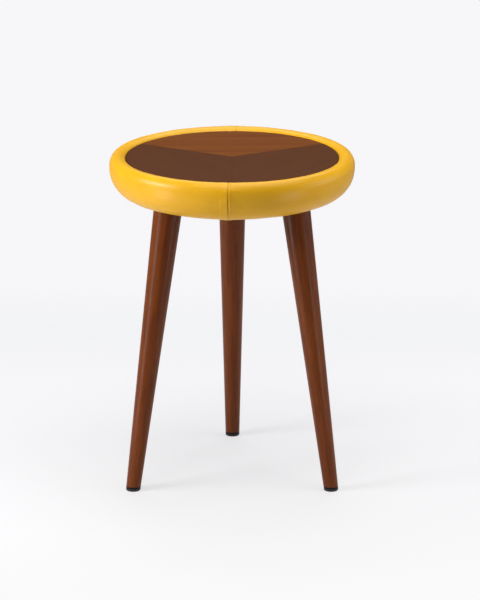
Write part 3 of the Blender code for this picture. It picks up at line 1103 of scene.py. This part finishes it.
@dataclass
class VeneerTop:
    """Three sectors of veneer that meet in the middle, on their panel."""

    radius: float = 0.1735
    height: float = 0.5413
    thickness: float = 0.0010
    joint: float = 0.00012  # gap between sectors
    ease: float = 0.00025
    ease_middle: float = 0.3  # of the ease, both inwards and down
    span: float = TAU / 3.0
    first_azimuth: float = math.radians(30.0)
    arc_steps: int = 96

    def sector(self, name: str, bisector: float) -> Piece:
        """Cuts one sector with eased upper edges.

        Args:
            name: Name of the piece.
            bisector: Azimuth of the sector's middle.

        Returns:
            The sector.
        """
        bend = self.ease_middle * self.ease
        rings = []
        for inset, depth in ((self.ease, 0.0), (bend, bend), (0.0, self.ease), (0.0, self.thickness)):
            half_gap = self.joint / 2.0 + inset
            reach = np.full(self.arc_steps + 2, self.radius - inset)
            half = self.span / 2.0 - math.asin(half_gap / reach[1])
            reach[0] = half_gap / math.sin(self.span / 2.0)
            angle = np.concatenate([[0.0], np.linspace(-half, half, self.arc_steps + 1)])
            rings.append(polar(reach, bisector + angle, self.height - depth))
        return skin(name, np.stack(rings), FLAT_EDGE, capped=True)

    def build(self, nodes: dict[str, Piece]) -> None:
        """Makes the sectors, with the grain square to each one's middle line, and dresses the panel.

        Args:
            nodes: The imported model's nodes.
        """
        # The back sector's paler, redder colours are painted sheen, where its grain catches the light more
        # than the two in front.
        painted_sheen = {"colour": "#68381a", "streak": "#76431b", "line": "#5a3015"}
        painted_sheen["bands"] = GrainLayer(520.0, 24.0, 0.40, 0.62)
        leaves = (
            ("back", Slot.LIGHT_VENEER, 0.041, painted_sheen),
            ("left", Slot.DARK_VENEER, 0.31, {}),
            ("right", Slot.DARK_VENEER, 0.57, {}),
        )
        for number, (side, slot, shift, look) in enumerate(leaves):
            laid = {"turn": (0.0, 0.0, -self.span * number), "shift": (0.0, shift, shift)}
            finish = LacqueredVeneer(f"lacquered_veneer_{side}", **laid, **look)
            piece = self.sector(f"veneer_sector_{side}", self.first_azimuth + self.span * (number + 0.5))
            show(piece, finish, slot, f"veneer_{side}")
        dress_node(nodes["top_panel"], FIBREBOARD)


@dataclass
class Thread:
    """A stretch of a screw's shank with a helical ridge."""

    start: float
    end: float
    core: float
    ridge: float
    pitch: float
    rows_per_turn: int = 6
    fade: float = 0.8  # turns over which the ridge rises at each end
    flank: float = 1.7  # steepness of the ridge

    def rows(self, steps: int) -> list[np.ndarray]:
        """Draws the stretch from its end down to its start.

        Args:
            steps: Points in a ring.

        Returns:
            Rings of (radius, height).
        """
        count = max(2, int(abs(self.end - self.start) / self.pitch * self.rows_per_turn))
        fade = self.fade * self.pitch
        rings = []
        for height in np.linspace(self.end, self.start, count):
            turn = (height / self.pitch - np.arange(steps) / steps) % 1.0
            tooth = np.clip(1.0 - self.flank * np.abs(2.0 * turn - 1.0), 0.0, 1.0)
            taper = max(0.0, min(1.0, (height - self.start) / fade, (self.end - height) / fade))
            rings.append(np.stack([self.core + self.ridge * taper * tooth, np.full(steps, height)], axis=1))
        return rings


@dataclass
class WoodScrew:
    """A countersunk wood screw with a cross recess, head down and point up."""

    length: float
    head_radius: float = 0.0038
    head: float = 0.0022
    core: float = 0.0014
    ridge: float = 0.0006
    pitch: float = 0.0018
    point: float = 0.0040
    rim: float = 0.0003
    wing: float = 0.0023  # cross recess: reach, half width and depth
    slot: float = 0.00045
    recess: float = 0.0016
    recess_taper: float = 0.45
    overcut: float = 0.0002  # cutter's length outside the head
    steps: int = 20

    def template(self) -> Piece:
        """Turns the screw and cuts its recess.

        Returns:
            The screw.
        """
        thread = Thread(self.head, self.length - self.point, self.core, self.ridge, self.pitch)
        rings = [(0.0, self.length), *thread.rows(self.steps), (self.head_radius, self.rim)]
        rings += [(self.head_radius - 0.5 * self.rim, 0.0), (0.0, 0.0)]
        screw = turned("screw_template", rings, self.steps, THREAD_EDGE)
        boolean = screw.modifiers.new("recess", "BOOLEAN")
        boolean.operation = "DIFFERENCE"
        boolean.solver = "EXACT"
        boolean.object = self.cross()
        mesh = as_mesh(screw)
        remove(boolean.object, screw)
        return smooth(mesh, THREAD_EDGE)

    def cross(self) -> Piece:
        """Makes the tapered cross that is cut out of the head.

        Returns:
            The cutter.
        """
        a, b = self.slot, self.wing
        plan = [(b, -a), (b, a), (a, a), (a, b), (-a, b), (-a, a)]
        plan = np.array(plan + [(-x, -y) for x, y in plan])
        ends = ((self.recess_taper, self.recess), (1.0, -self.overcut))
        rings = [np.column_stack([share * plan, np.full(len(plan), z)]) for share, z in ends]
        return skin("cross_recess", np.stack(rings), capped=True)


@dataclass
class HangerBolt:
    """A bolt with a machine thread above the leg and a wood thread inside it."""

    above: float = 0.0094
    below: float = 0.0423
    radius: float = 0.0040
    plain: float = 0.0075  # middle of the bolt below the plate's top
    point: float = 0.0040
    chamfer: float = 0.0004
    end_share: float = 0.8  # of the radius, at the upper end
    machine: Triple = (0.88, 0.12, 0.00125)  # core and ridge as shares of the radius, pitch
    wood: Triple = (0.68, 0.30, 0.0028)
    steps: int = 20

    def template(self) -> Piece:
        """Turns the bolt.

        Returns:
            The bolt.
        """
        rings = [(0.0, self.above), (self.end_share * self.radius, self.above)]
        machine = (-self.plain, self.above - self.chamfer, self.machine)
        wood = (self.point - self.below, -self.plain, self.wood)
        for start, end, (core, ridge, pitch) in (machine, wood):
            rings += Thread(start, end, core * self.radius, ridge * self.radius, pitch).rows(self.steps)
        return turned("bolt_template", [*rings, (0.0, -self.below)], self.steps, THREAD_EDGE)


@dataclass
class GlideNail:
    """The flat-headed nail that holds a glide, point up."""

    base: float = 0.0010
    head: float = 0.0010
    tip: float = 0.0203
    radius: float = 0.0013
    head_radius: float = 0.0040
    head_edge: tuple[Pair, ...] = (  # inset, share of the head's height
        (0.0002, 1.0),
        (0.0, 0.7),
        (0.0003, 0.2),
        (0.0010, 0.0),
    )
    point: float = 0.0030
    steps: int = 24

    def template(self) -> Piece:
        """Turns the nail, with its head's edge rounded.

        Returns:
            The nail.
        """
        profile = [(0.0, self.tip), (self.radius, self.tip - self.point)]
        profile.append((self.radius, self.base + self.head))
        profile += [(self.head_radius - inset, self.base + up * self.head) for inset, up in self.head_edge]
        return turned("nail_template", [*profile, (0.0, self.base)], self.steps)


@dataclass
class Staple:
    """An upholstery staple driven upwards: its crown lies along the local Y axis."""

    crown: float = 0.0095
    width: float = 0.0012
    wire: float = 0.0006
    leg: float = 0.0050
    bend: float = 0.0007
    sharp: float = 30.0  # degrees

    def template(self) -> Piece:
        """Bends a flat wire into a staple whose crown's outer face is at height 0.

        Returns:
            The staple.
        """
        half, x = self.crown / 2.0, self.width / 2.0
        slim = half - self.wire
        outer = [(-half, self.leg), (-half, self.bend), (self.bend - half, 0.0)]
        inner = [(-slim, self.leg), (-slim, self.bend), (self.bend - half, self.wire)]
        for side in (outer, inner):
            side += [(-y, z) for y, z in side[::-1]]
        rings = [[(-x, *a), (x, *a), (x, *b), (-x, *b)] for a, b in zip(outer, inner)]
        return skin("staple_template", np.array(rings), self.sharp, capped=True)


@dataclass(frozen=True)
class RingPlan:
    """Where fasteners stand: at even steps round a level circle."""

    count: int
    radius: float
    height: float
    start: float = 0.0  # azimuth of the first one
    lean: float = 0.0  # turn about the circle's tangent
    spin: float = 0.0  # most that each one is turned at random about its own axis
    seed: int = 1
    clearing: float = -1.0  # angle that stays clear to each side of the stations, or -1


class FastenerRing:
    """Geometry Nodes that set a fastener down round a ring."""

    def __init__(self, stations: int, station_azimuth: float) -> None:
        """Builds the tree.

        Args:
            stations: Places round the circle that can be kept clear.
            station_azimuth: Azimuth of the first such place.
        """
        tree = bpy.data.node_groups.new("fastener_ring", "GeometryNodeTree")
        self.tree = tree
        kinds = {"int": "NodeSocketInt", "float": "NodeSocketFloat"}
        sockets = {"Fastener": "NodeSocketObject", "Finish": "NodeSocketMaterial"}
        sockets |= {field.name.capitalize(): kinds[field.type] for field in fields(RingPlan)}
        for name, kind in sockets.items():
            tree.interface.new_socket(name, in_out="INPUT", socket_type=kind)
        tree.interface.new_socket("Geometry", in_out="OUTPUT", socket_type="NodeSocketGeometry")
        given = add_node(tree, "NodeGroupInput").outputs
        line = add_node(tree, "GeometryNodeMeshLine", {"Count": given["Count"], "Offset": (0.0, 0.0, 0.0)})
        index = add_node(tree, "GeometryNodeInputIndex")
        share = add_node(tree, "ShaderNodeMath", {0: index, 1: given["Count"]}, operation="DIVIDE")
        turns = {0: share, 1: TAU, 2: given["Start"]}
        angle = add_node(tree, "ShaderNodeMath", turns, operation="MULTIPLY_ADD")
        level = {2: given["Height"]}
        for axis, operation in enumerate(("COSINE", "SINE")):
            part = add_node(tree, "ShaderNodeMath", {0: angle}, operation=operation)
            reach = {0: part, 1: given["Radius"]}
            level[axis] = add_node(tree, "ShaderNodeMath", reach, operation="MULTIPLY")
        place = add_node(tree, "ShaderNodeCombineXYZ", level)
        spread = add_node(tree, "GeometryNodeSetPosition", {"Geometry": line, "Position": place})
        least = add_node(tree, "ShaderNodeMath", {0: given["Spin"], 1: -1.0}, operation="MULTIPLY")
        limits = {2: least, 3: given["Spin"], "Seed": given["Seed"]}
        jitter = add_node(tree, "FunctionNodeRandomValue", limits, data_type="FLOAT").outputs[1]
        turn = add_node(tree, "ShaderNodeMath", {0: angle, 1: jitter}, operation="ADD")
        pose = add_node(tree, "ShaderNodeCombineXYZ", {1: given["Lean"], 2: turn})
        rotation = add_node(tree, "FunctionNodeEulerToRotation", {0: pose})
        off = add_node(tree, "ShaderNodeMath", {0: angle, 1: station_azimuth}, operation="SUBTRACT")
        half = math.pi / stations
        nearest = add_node(tree, "ShaderNodeMath", {0: off, 1: half, 2: -half}, operation="WRAP")
        apart = add_node(tree, "ShaderNodeMath", {0: nearest}, operation="ABSOLUTE")
        kept = add_node(tree, "ShaderNodeMath", {0: apart, 1: given["Clearing"]}, operation="GREATER_THAN")
        item = add_node(tree, "GeometryNodeObjectInfo", {"Object": given["Fastener"], "As Instance": True})
        stand = {"Points": spread, "Selection": kept, "Rotation": rotation}
        stand["Instance"] = item.outputs["Geometry"]
        copies = add_node(tree, "GeometryNodeInstanceOnPoints", stand)
        real = add_node(tree, "GeometryNodeRealizeInstances", {0: copies})
        coated = add_node(tree, "GeometryNodeSetMaterial", {"Geometry": real, "Material": given["Finish"]})
        add_node(tree, "NodeGroupOutput", {0: coated})

    def place(self, name: str, fastener: Piece, plan: RingPlan, *nodes: str) -> Piece:
        """Sets the fasteners down as one piece.

        Args:
            name: Name of the piece.
            fastener: The template, which is removed.
            plan: Where they stand.
            nodes: CAD nodes that the piece stands for.

        Returns:
            The piece.
        """
        holder = add_object(bpy.data.meshes.new(name + "_holder"))
        ring = holder.modifiers.new("ring", "NODES")
        ring.node_group = self.tree
        sockets = [item for item in self.tree.interface.items_tree if item.in_out == "INPUT"]
        for socket, value in zip(sockets, (fastener, STEEL.material(), *astuple(plan))):
            ring[socket.identifier] = value
        mesh = as_mesh(holder)
        mesh.name = name
        remove(holder, fastener)
        return show(add_object(mesh), STEEL, Slot.STEEL, *nodes)


@dataclass
class DrumCore:
    """The plywood drum inside the rim, its screws, the cloth under it and the staples."""

    core_screw: float = 0.0444
    core_ring: RingPlan = RingPlan(6, 0.1419, 0.4806, spin=math.pi, seed=3)
    panel_screw: float = 0.0195
    panel_ring: RingPlan = RingPlan(6, 0.1069, 0.5170, spin=math.pi, seed=4)
    leather_ring: RingPlan = RingPlan(46, 0.1499, 0.4789, math.radians(3.0), spin=math.radians(5.0), seed=8)
    cloth_ring: RingPlan = RingPlan(
        33, 0.1432, 0.4796, math.radians(90.0), spin=math.radians(7.0), seed=9, clearing=math.radians(15.0)
    )
    staple_gap: float = 0.00045  # between a crown and the face that it holds, which puckers under it
    cloth_radius: float = 0.1474
    cloth_top: float = 0.4803
    cloth: float = 0.0007
    sag: float = 0.0014
    sag_reach: Pair = (0.1454, 0.09)  # radii between which the sag comes in
    ripple: Triple = (0.6, 0.25, 0.15)  # shares of the sag: even, in bent waves along X, in waves along Y
    ripple_paces: Triple = (180.0, 1.0 / 0.03, 1.0 / 0.011)  # radians per metre: bent waves, bends, waves
    ripple_bend: float = 2.0  # radians
    pucker: float = 0.00025
    pucker_rise: Pair = (0.10, 0.14)  # radii between which the puckers come in
    pucker_end: Pair = (0.1464, 0.1420)  # and go out
    plates: int = 3
    plate_azimuth: float = 0.5 * math.pi
    plate_radius: float = 0.1181
    plate_reach: float = 0.030  # half side of a plate, with some room
    plate_clear: float = 0.035  # from there to where the cloth is loose
    cloth_rings: int = 44
    cloth_steps: int = 180

    def build_cloth(self) -> Piece:
        """Makes the dust cover: a disc that sags and puckers a little between what holds it.

        Returns:
            The cloth, dressed.
        """
        radius = np.linspace(0.0, self.cloth_radius, self.cloth_rings)[:, None]
        angle = even_angles(self.cloth_steps)
        x, y = radius * np.cos(angle), radius * np.sin(angle)
        loose = ramp(radius, *self.sag_reach)
        for station in self.plate_azimuth + even_angles(self.plates):
            out = x * math.cos(station) + y * math.sin(station) - self.plate_radius
            aside = -x * math.sin(station) + y * math.cos(station)
            apart = np.maximum(np.abs(out), np.abs(aside)) - self.plate_reach
            loose = loose * ramp(apart, 0.0, self.plate_clear)
        # Slack cloth lies in soft, bent waves, some 35 mm from crest to crest.
        even, bent, across = self.ripple
        first, sway, second = self.ripple_paces
        ripple = even + bent * np.sin(first * x + self.ripple_bend * np.sin(sway * y))
        ripple += across * np.sin(second * y)
        edge = ramp(radius, *self.pucker_rise) * ramp(radius, *self.pucker_end)
        drop = self.sag * loose * ripple
        drop += self.pucker * edge * (1.0 + np.cos(self.cloth_ring.count * angle))
        top = np.stack([x, y, self.cloth_top - drop], axis=-1)
        base = top - (0.0, 0.0, self.cloth)
        cloth = skin("dust_cloth", np.concatenate([top, base[::-1]]))
        show(cloth, DUST_CLOTH, Slot.CLOTH, "dust_cover")
        return cloth

    def build(self, nodes: dict[str, Piece], ring: FastenerRing) -> None:
        """Dresses the boards and makes the cloth, the long screws and the staples.

        Args:
            nodes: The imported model's nodes.
            ring: What sets the fasteners down.
        """
        for name in ("top_board", "spacer_ring", "bottom_board"):
            dress_node(nodes[name], PLYWOOD)
        self.build_cloth()
        core = ("core_screw", self.core_screw, self.core_ring)
        panel = ("panel_screw", self.panel_screw, self.panel_ring)
        for kind, length, plan in (core, panel):
            names = [f"{kind}_{number + 1}" for number in range(plan.count)]
            ring.place(f"{kind}s", WoodScrew(length).template(), plan, *names)
        staple = Staple()
        for kind, plan in (("leather", self.leather_ring), ("cloth", self.cloth_ring)):
            plan = replace(plan, height=plan.height - staple.wire - self.staple_gap)
            ring.place(f"{kind}_staples", staple.template(), plan)


@dataclass
class LegSet:
    """Three splayed legs with their plates, bolts, screws, glides and nails."""

    count: int = 3
    first_azimuth: float = math.radians(90.0)
    splay: float = math.radians(8.33)
    plate_radius: float = 0.1181
    plate_top: float = 0.4793
    plate: float = 0.0025
    plate_ease: float = 0.0004
    plate_merge: float = 1e-6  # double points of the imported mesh
    plate_flat: float = math.radians(1.0)  # faces that differ by less are one
    plate_corner: float = math.radians(50.0)  # edges from this angle are eased
    screw_reach: float = 0.0200
    plate_screw: float = 0.0148
    screw_seed: int = 20
    top_drop: float = 0.00726  # leg's top below the plate's upper face
    top_radius: float = 0.0232
    tip_radius: float = 0.0119
    ease: float = 0.0015
    ease_steps: int = 5
    foot_height: float = 0.0043
    foot_ease: float = 0.0004
    bore: float = 0.0043
    bore_depth: float = 0.0353
    bore_ease: float = 0.0004
    nail_bore: float = 0.0016
    nail_top: float = 0.0206
    glide: float = 0.0040
    glide_round: float = 0.0018
    glide_ease: float = 0.0003
    glide_round_steps: int = 8
    nail_recess: Pair = (0.0043, 0.0023)  # radius and height in the glide
    foot_circle: float = 0.187694
    figure_step: float = 0.37  # metres from the figure of one leg to that of the next
    leg_steps: int = 80
    leg_rows: int = 30
    glide_steps: int = 72

    def azimuth(self, number: int) -> float:
        """Gives the azimuth of a leg, from 1."""
        return self.first_azimuth + TAU * (number - 1) / self.count

    def station(self, number: int) -> Matrix:
        """Gives the frame of a leg's plate: +X points outwards from the table's middle."""
        place = polar(self.plate_radius, self.azimuth(number), self.plate_top)
        return Matrix.Translation(Vector(place)) @ Matrix.Rotation(self.azimuth(number), 4, "Z")

    def foot(self, number: int) -> np.ndarray:
        """Gives the middle of a leg's glide on the floor."""
        return polar(self.foot_circle, self.azimuth(number), 0.0)

    def leg_rings(self) -> np.ndarray:
        """Turns a leg about its own axis, with its foot cut level for the splay.

        Returns:
            Rings of points from the bolt's bore over the top down to the foot, in the leg's frame.
        """
        phi = even_angles(self.leg_steps)
        drop = self.plate_top - self.top_drop - self.foot_height
        taper = (self.top_radius - self.tip_radius) / (drop / math.cos(self.splay))
        lean = np.cos(phi) * math.sin(self.splay)
        foot = (drop + self.top_radius * lean) / (math.cos(self.splay) + taper * lean)
        rings = [(0.0, self.bore_depth), (self.bore, self.bore_depth), (self.bore, self.bore_ease)]
        rings.append((self.bore + self.bore_ease, 0.0))
        for angle in np.linspace(0.0, math.pi / 2.0, self.ease_steps + 1):
            inset, depth = self.ease * (1.0 - math.sin(angle)), self.ease * (1.0 - math.cos(angle))
            rings.append((self.top_radius - inset, depth))
        for share in np.linspace(0.0, 1.0, self.leg_rows)[1:]:
            depth = self.ease + share * (foot - self.foot_ease - self.ease)
            rings.append((self.top_radius - taper * depth, depth))
        rings.append((self.top_radius - taper * foot - self.foot_ease, foot))
        return np.stack([polar(radius, phi, -depth) for radius, depth in rings])

    def build_leg(self, number: int) -> Piece:
        """Makes one leg, drilled for its bolt and its glide's nail.

        Args:
            number: Number of the leg.

        Returns:
            The leg.
        """
        drop = Vector((self.top_drop * math.tan(self.splay), 0.0, -self.top_drop))
        frame = self.station(number) @ Matrix.Translation(drop) @ Matrix.Rotation(-self.splay, 4, "Y")
        shaft = self.leg_rings() @ np.array(frame.to_3x3()).T + np.array(frame.translation)
        phi = even_angles(self.leg_steps) + self.azimuth(number)
        bore = ((self.nail_bore, self.foot_height), (self.nail_bore, self.nail_top), (0.0, self.nail_top))
        hole = np.stack([polar(radius, phi, height) for radius, height in bore]) + self.foot(number)
        leg = skin(f"turned_leg_{number}", np.concatenate([shaft, hole]))
        turn = tuple(frame.to_3x3().inverted().to_euler())
        finish = StainedBeech(f"stained_beech_{number}", turn=turn, shift=(self.figure_step * number,) * 3)
        return show(leg, finish, Slot.STAINED_WOOD, f"leg_{number}")

    def build_glide(self, number: int) -> Piece:
        """Makes the rounded glide under one leg, with its nail's recess.

        Args:
            number: Number of the leg.

        Returns:
            The glide.
        """
        recess, recess_top = self.nail_recess
        middle = (self.tip_radius - self.glide_round, self.glide_round)
        profile = [(self.nail_bore, self.glide), (self.tip_radius - self.glide_ease, self.glide)]
        profile.append((self.tip_radius, self.glide - self.glide_ease))
        profile += elliptic(middle, (self.glide_round,) * 2, 0.0, -90.0, self.glide_round_steps)
        profile += [(recess + self.glide_ease, 0.0), (recess, self.glide_ease), (recess, recess_top)]
        profile += [(self.nail_bore, recess_top), (self.nail_bore, self.glide)]
        glide = turned(f"nylon_glide_{number}", profile, self.glide_steps, middle=self.foot(number))
        return show(glide, MOULDED_NYLON, Slot.PLASTIC, f"foot_glide_{number}")

    def build_plate(self, number: int, node: Piece) -> Piece:
        """Makes one pressed plate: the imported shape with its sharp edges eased.

        Args:
            number: Number of the leg.
            node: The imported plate.

        Returns:
            The plate.
        """
        shape = bmesh.new()
        shape.from_mesh(node.data)
        bmesh.ops.remove_doubles(shape, verts=shape.verts, dist=self.plate_merge)
        bmesh.ops.dissolve_limit(shape, angle_limit=self.plate_flat, verts=shape.verts, edges=shape.edges)
        inner = [edge for edge in shape.edges if len(edge.link_faces) == 2]
        corners = [edge for edge in inner if edge.calc_face_angle() > self.plate_corner]
        ease = {"offset": self.plate_ease, "segments": 2, "profile": 0.5, "clamp_overlap": True}
        bmesh.ops.bevel(shape, geom=corners, affect="EDGES", **ease)
        mesh = bpy.data.meshes.new(f"pressed_plate_{number}")
        shape.to_mesh(mesh)
        shape.free()
        return show(smooth(mesh, FLAT_EDGE), STEEL, Slot.STEEL, f"leg_plate_{number}")

    def build_fasteners(self, ring: FastenerRing) -> None:
        """Makes the plate screws, the hanger bolts and the glide nails.

        Args:
            ring: What sets the fasteners down.
        """
        numbers = range(1, self.count + 1)
        reach, base = self.screw_reach, self.plate_top - self.plate
        corners = ((reach, reach), (-reach, reach), (-reach, -reach), (reach, -reach))
        for corner, (out, aside) in enumerate(corners, 1):
            circle = math.hypot(self.plate_radius + out, aside)
            start = self.first_azimuth + math.atan2(aside, self.plate_radius + out)
            plan = RingPlan(self.count, circle, base, start, spin=math.pi, seed=self.screw_seed + corner)
            names = [f"plate_screw_{number}_{corner}" for number in numbers]
            ring.place(f"plate_screws_{corner}", WoodScrew(self.plate_screw).template(), plan, *names)
        bolts = RingPlan(self.count, self.plate_radius, self.plate_top, self.first_azimuth, -self.splay)
        nails = RingPlan(self.count, self.foot_circle, 0.0, self.first_azimuth)
        for kind, item, plan in (("hanger_bolt", HangerBolt(), bolts), ("glide_nail", GlideNail(), nails)):
            ring.place(f"{kind}s", item.template(), plan, *[f"{kind}_{number}" for number in numbers])

    def build(self, nodes: dict[str, Piece], ring: FastenerRing) -> None:
        """Makes the legs and all that holds them.

        Args:
            nodes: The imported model's nodes.
            ring: What sets the fasteners down.
        """
        for number in range(1, self.count + 1):
            self.build_leg(number)
            self.build_glide(number)
            self.build_plate(number, nodes[f"leg_plate_{number}"])
        self.build_fasteners(ring)


@dataclass(frozen=True)
class Softbox:
    """A studio lamp that faces the table's top from a bearing and a rise in degrees."""

    name: str
    bearing: float  # from the front, positive to the right
    rise: float
    strength: float  # at 1, a white card that faces the lamp renders white
    size: Pair  # across and upwards
    distance: float = 2.4
    aim: Triple = (0.0, 0.0, 0.45)

    def build(self) -> None:
        """Hangs the lamp and turns it to its aim."""
        bearing, rise = math.radians(self.bearing), math.radians(self.rise)
        level = self.distance * math.cos(rise)
        across, ahead = level * math.sin(bearing), -level * math.cos(bearing)
        offset = Vector((across, ahead, self.distance * math.sin(rise)))
        lamp = bpy.data.lights.new(self.name, "AREA")
        lamp.shape = "RECTANGLE"
        lamp.size, lamp.size_y = self.size
        lamp.energy = self.strength * math.pi**2 * self.distance**2
        obj = add_object(lamp)
        obj.location = Vector(self.aim) + offset
        obj.rotation_euler = (-offset).to_track_quat("-Z", "Y").to_euler()


@dataclass
class Studio:
    """Pale floor, soft lamps and the photograph's camera."""

    floor_radius: float = 14.0
    floor_steps: int = 96
    floor_colour: str = "#e2e2e3"
    bounce_colour: str = "#c9c9ca"  # what the floor throws back at the table
    white: str = "#f7f7f8"
    sweep: tuple[tuple[float, str], ...] = (  # painted light and shade on the glowing paper, by distance behind the table
        (-1.20, "#fdfdfd"),
        (-0.50, "#fafafb"),
        (-0.20, "#f7f6f8"),
        (0.50, "#f7f6f9"),
        (0.80, "#f2f3f5"),
        (1.10, "#f7f6f9"),
    )
    shadow_share: Pair = (0.36, 0.0)  # of the lit floor in the picture: near and far
    shadow_reach: Pair = (0.24, 0.75)
    ambient: float = 0.020
    backdrop: Pair = (0.05, 0.0)  # sines of the heights between which a glossy piece sees it end
    pool: Pair = (1.0, 0.3)  # lit floor that a glossy piece sees: its edge, and where it is full
    lens: float = 211.65
    sensor: float = 36.0
    view_end: float = 100.0
    camera_place: Triple = (0.0129, -5.567, 1.9574)
    camera_pitch: float = math.radians(73.40)
    lamps: tuple[Softbox, ...] = (
        Softbox("key_left", -71.0, 20.0, 0.75, (0.70, 0.42), 1.7),
        Softbox("low_left", -62.0, -7.0, 0.22, (0.24, 0.48), 0.95, (0.0, 0.0, 0.34)),
        Softbox("low_right", 54.0, -9.0, 0.11, (0.18, 0.42), 0.95, (0.0, 0.0, 0.34)),
        Softbox("top", 0.0, 90.0, 0.29, (1.2, 1.2)),
        Softbox("back_sheet", 174.0, 50.0, 0.38, (2.2, 1.0)),
        Softbox("high_right", 70.0, 60.0, 0.38, (1.5, 1.5)),
        Softbox("fill_right", 90.0, 9.0, 0.24, (1.5, 1.1)),
        Softbox("high_front", -14.0, 62.0, 0.30, (1.1, 0.9)),
    )

    def build_floor(self) -> None:
        """Lays a pale floor that fades into the background and lets the underside be seen."""
        rim = polar(self.floor_radius, even_angles(self.floor_steps), 0.0)
        mesh = add_mesh("studio_floor", rim, [tuple(range(self.floor_steps))])
        material = bpy.data.materials.new("matt_paper_floor")
        mesh.materials.append(material)
        tree = empty_tree(material)
        coords = add_node(tree, "ShaderNodeTexCoord").outputs["Object"]
        away = add_node(tree, "ShaderNodeVectorMath", {0: coords}, operation="LENGTH").outputs["Value"]
        near, far = (1.0 - share for share in self.shadow_share)
        fade = dict(zip(RANGE, (*self.shadow_reach, near, far)), Value=away)
        share = add_node(tree, "ShaderNodeMapRange", fade, interpolation_type="SMOOTHSTEP")
        seen = self.seen_rays(tree, away, self.pool)
        blend = add_node(tree, "ShaderNodeMath", {0: seen, 1: share}, operation="MULTIPLY")
        path = add_node(tree, "ShaderNodeLightPath").outputs
        rays = {0: path["Is Diffuse Ray"], 1: path["Is Glossy Ray"]}
        thrown = add_node(tree, "ShaderNodeMath", rays, operation="MAXIMUM")
        paint = tint(tree, self.floor_colour, self.bounce_colour, thrown)
        lit = add_node(tree, "ShaderNodeBsdfDiffuse", {"Color": paint})
        painted_paper_light = self.sweep_tone(tree, coords)
        glow = add_node(tree, "ShaderNodeEmission", {"Color": painted_paper_light, "Strength": 1.0})
        paper = add_node(tree, "ShaderNodeMixShader", {0: blend, 1: lit, 2: glow})
        clear = add_node(tree, "ShaderNodeBsdfTransparent")
        below = add_node(tree, "ShaderNodeNewGeometry").outputs["Backfacing"]
        sheet = add_node(tree, "ShaderNodeMixShader", {0: below, 1: paper, 2: clear})
        add_node(tree, "ShaderNodeOutputMaterial", {"Surface": sheet})
        add_object(mesh)

    def sweep_tone(self, tree: Tree, coords: Socket) -> Socket:
        """Paints light and shade on the glowing paper from the front of the room to its back.

        Args:
            tree: The floor's nodes.
            coords: Its object coordinates.

        Returns:
            The paper's colour, with its painted light and shade.
        """
        first, last = self.sweep[0][0], self.sweep[-1][0]
        depth = add_node(tree, "ShaderNodeSeparateXYZ", {0: coords}).outputs["Y"]
        share = add_node(tree, "ShaderNodeMapRange", {"Value": depth, "From Min": first, "From Max": last})
        grade = add_node(tree, "ShaderNodeValToRGB", {0: share})
        stops = grade.color_ramp.elements
        for number, (place, code) in enumerate(self.sweep):
            at = (place - first) / (last - first)
            stop = stops[number] if number < len(stops) else stops.new(at)
            stop.position = at
            stop.color = linear(code)
        return grade.outputs["Color"]

    def seen_rays(self, tree: Tree, value: Socket, span: Pair) -> Node:
        """Picks the rays that show the pale background.

        Args:
            tree: Nodes of the floor or the world.
            value: What tells how far the studio is lit, as a glossy piece mirrors it.
            span: Values at which the light ends and is full.

        Returns:
            1 for the camera and through glass, and for glossy pieces where the studio is lit.
        """
        lit = add_node(tree, "ShaderNodeMapRange", dict(zip(RANGE, span), Value=value))
        path = add_node(tree, "ShaderNodeLightPath").outputs
        rays = {0: path["Is Camera Ray"], 1: path["Is Transmission Ray"]}
        straight = add_node(tree, "ShaderNodeMath", rays, operation="MAXIMUM")
        glossy = {0: path["Is Glossy Ray"], 1: lit}
        mirrored = add_node(tree, "ShaderNodeMath", glossy, operation="MULTIPLY")
        return add_node(tree, "ShaderNodeMath", {0: straight, 1: mirrored}, operation="MAXIMUM")

    def build_world(self) -> None:
        """Sets the soft light from all round and the white that the camera sees."""
        world = bpy.data.worlds.new("studio")
        bpy.context.scene.world = world
        tree = empty_tree(world)
        sky = {"Color": linear("#ffffff"), "Strength": self.ambient}
        light = add_node(tree, "ShaderNodeBackground", sky)
        white = add_node(tree, "ShaderNodeBackground", {"Color": linear(self.white), "Strength": 1.0})
        heading = add_node(tree, "ShaderNodeTexCoord").outputs["Generated"]
        height = add_node(tree, "ShaderNodeSeparateXYZ", {0: heading}).outputs["Z"]
        pale = self.seen_rays(tree, height, self.backdrop)
        mixed = add_node(tree, "ShaderNodeMixShader", {0: pale, 1: light, 2: white})
        add_node(tree, "ShaderNodeOutputWorld", {"Surface": mixed})

    def build_camera(self) -> None:
        """Sets up the camera that the photograph was fitted with."""
        data = bpy.data.cameras.new("camera")
        data.lens = self.lens
        data.sensor_width = self.sensor
        data.clip_end = self.view_end
        camera = add_object(data)
        camera.location = self.camera_place
        camera.rotation_euler = (self.camera_pitch, 0.0, 0.0)
        bpy.context.scene.camera = camera

    def build(self) -> None:
        """Sets up the whole studio."""
        bpy.context.scene.view_settings.view_transform = "Standard"
        self.build_floor()
        self.build_world()
        self.build_camera()
        for lamp in self.lamps:
            lamp.build()


def main() -> None:
    """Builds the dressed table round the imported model."""
    logging.basicConfig(level=logging.INFO, format="%(name)s: %(message)s")
    remove(*bpy.data.objects)
    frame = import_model()
    nodes = frame["nodes"]
    Studio().build()
    legs = LegSet()
    ring = FastenerRing(legs.count, legs.first_azimuth)
    PaddedRim().build()
    VeneerTop().build(nodes)
    DrumCore().build(nodes, ring)
    legs.build(nodes, ring)


if __name__ == "__main__":
    main()
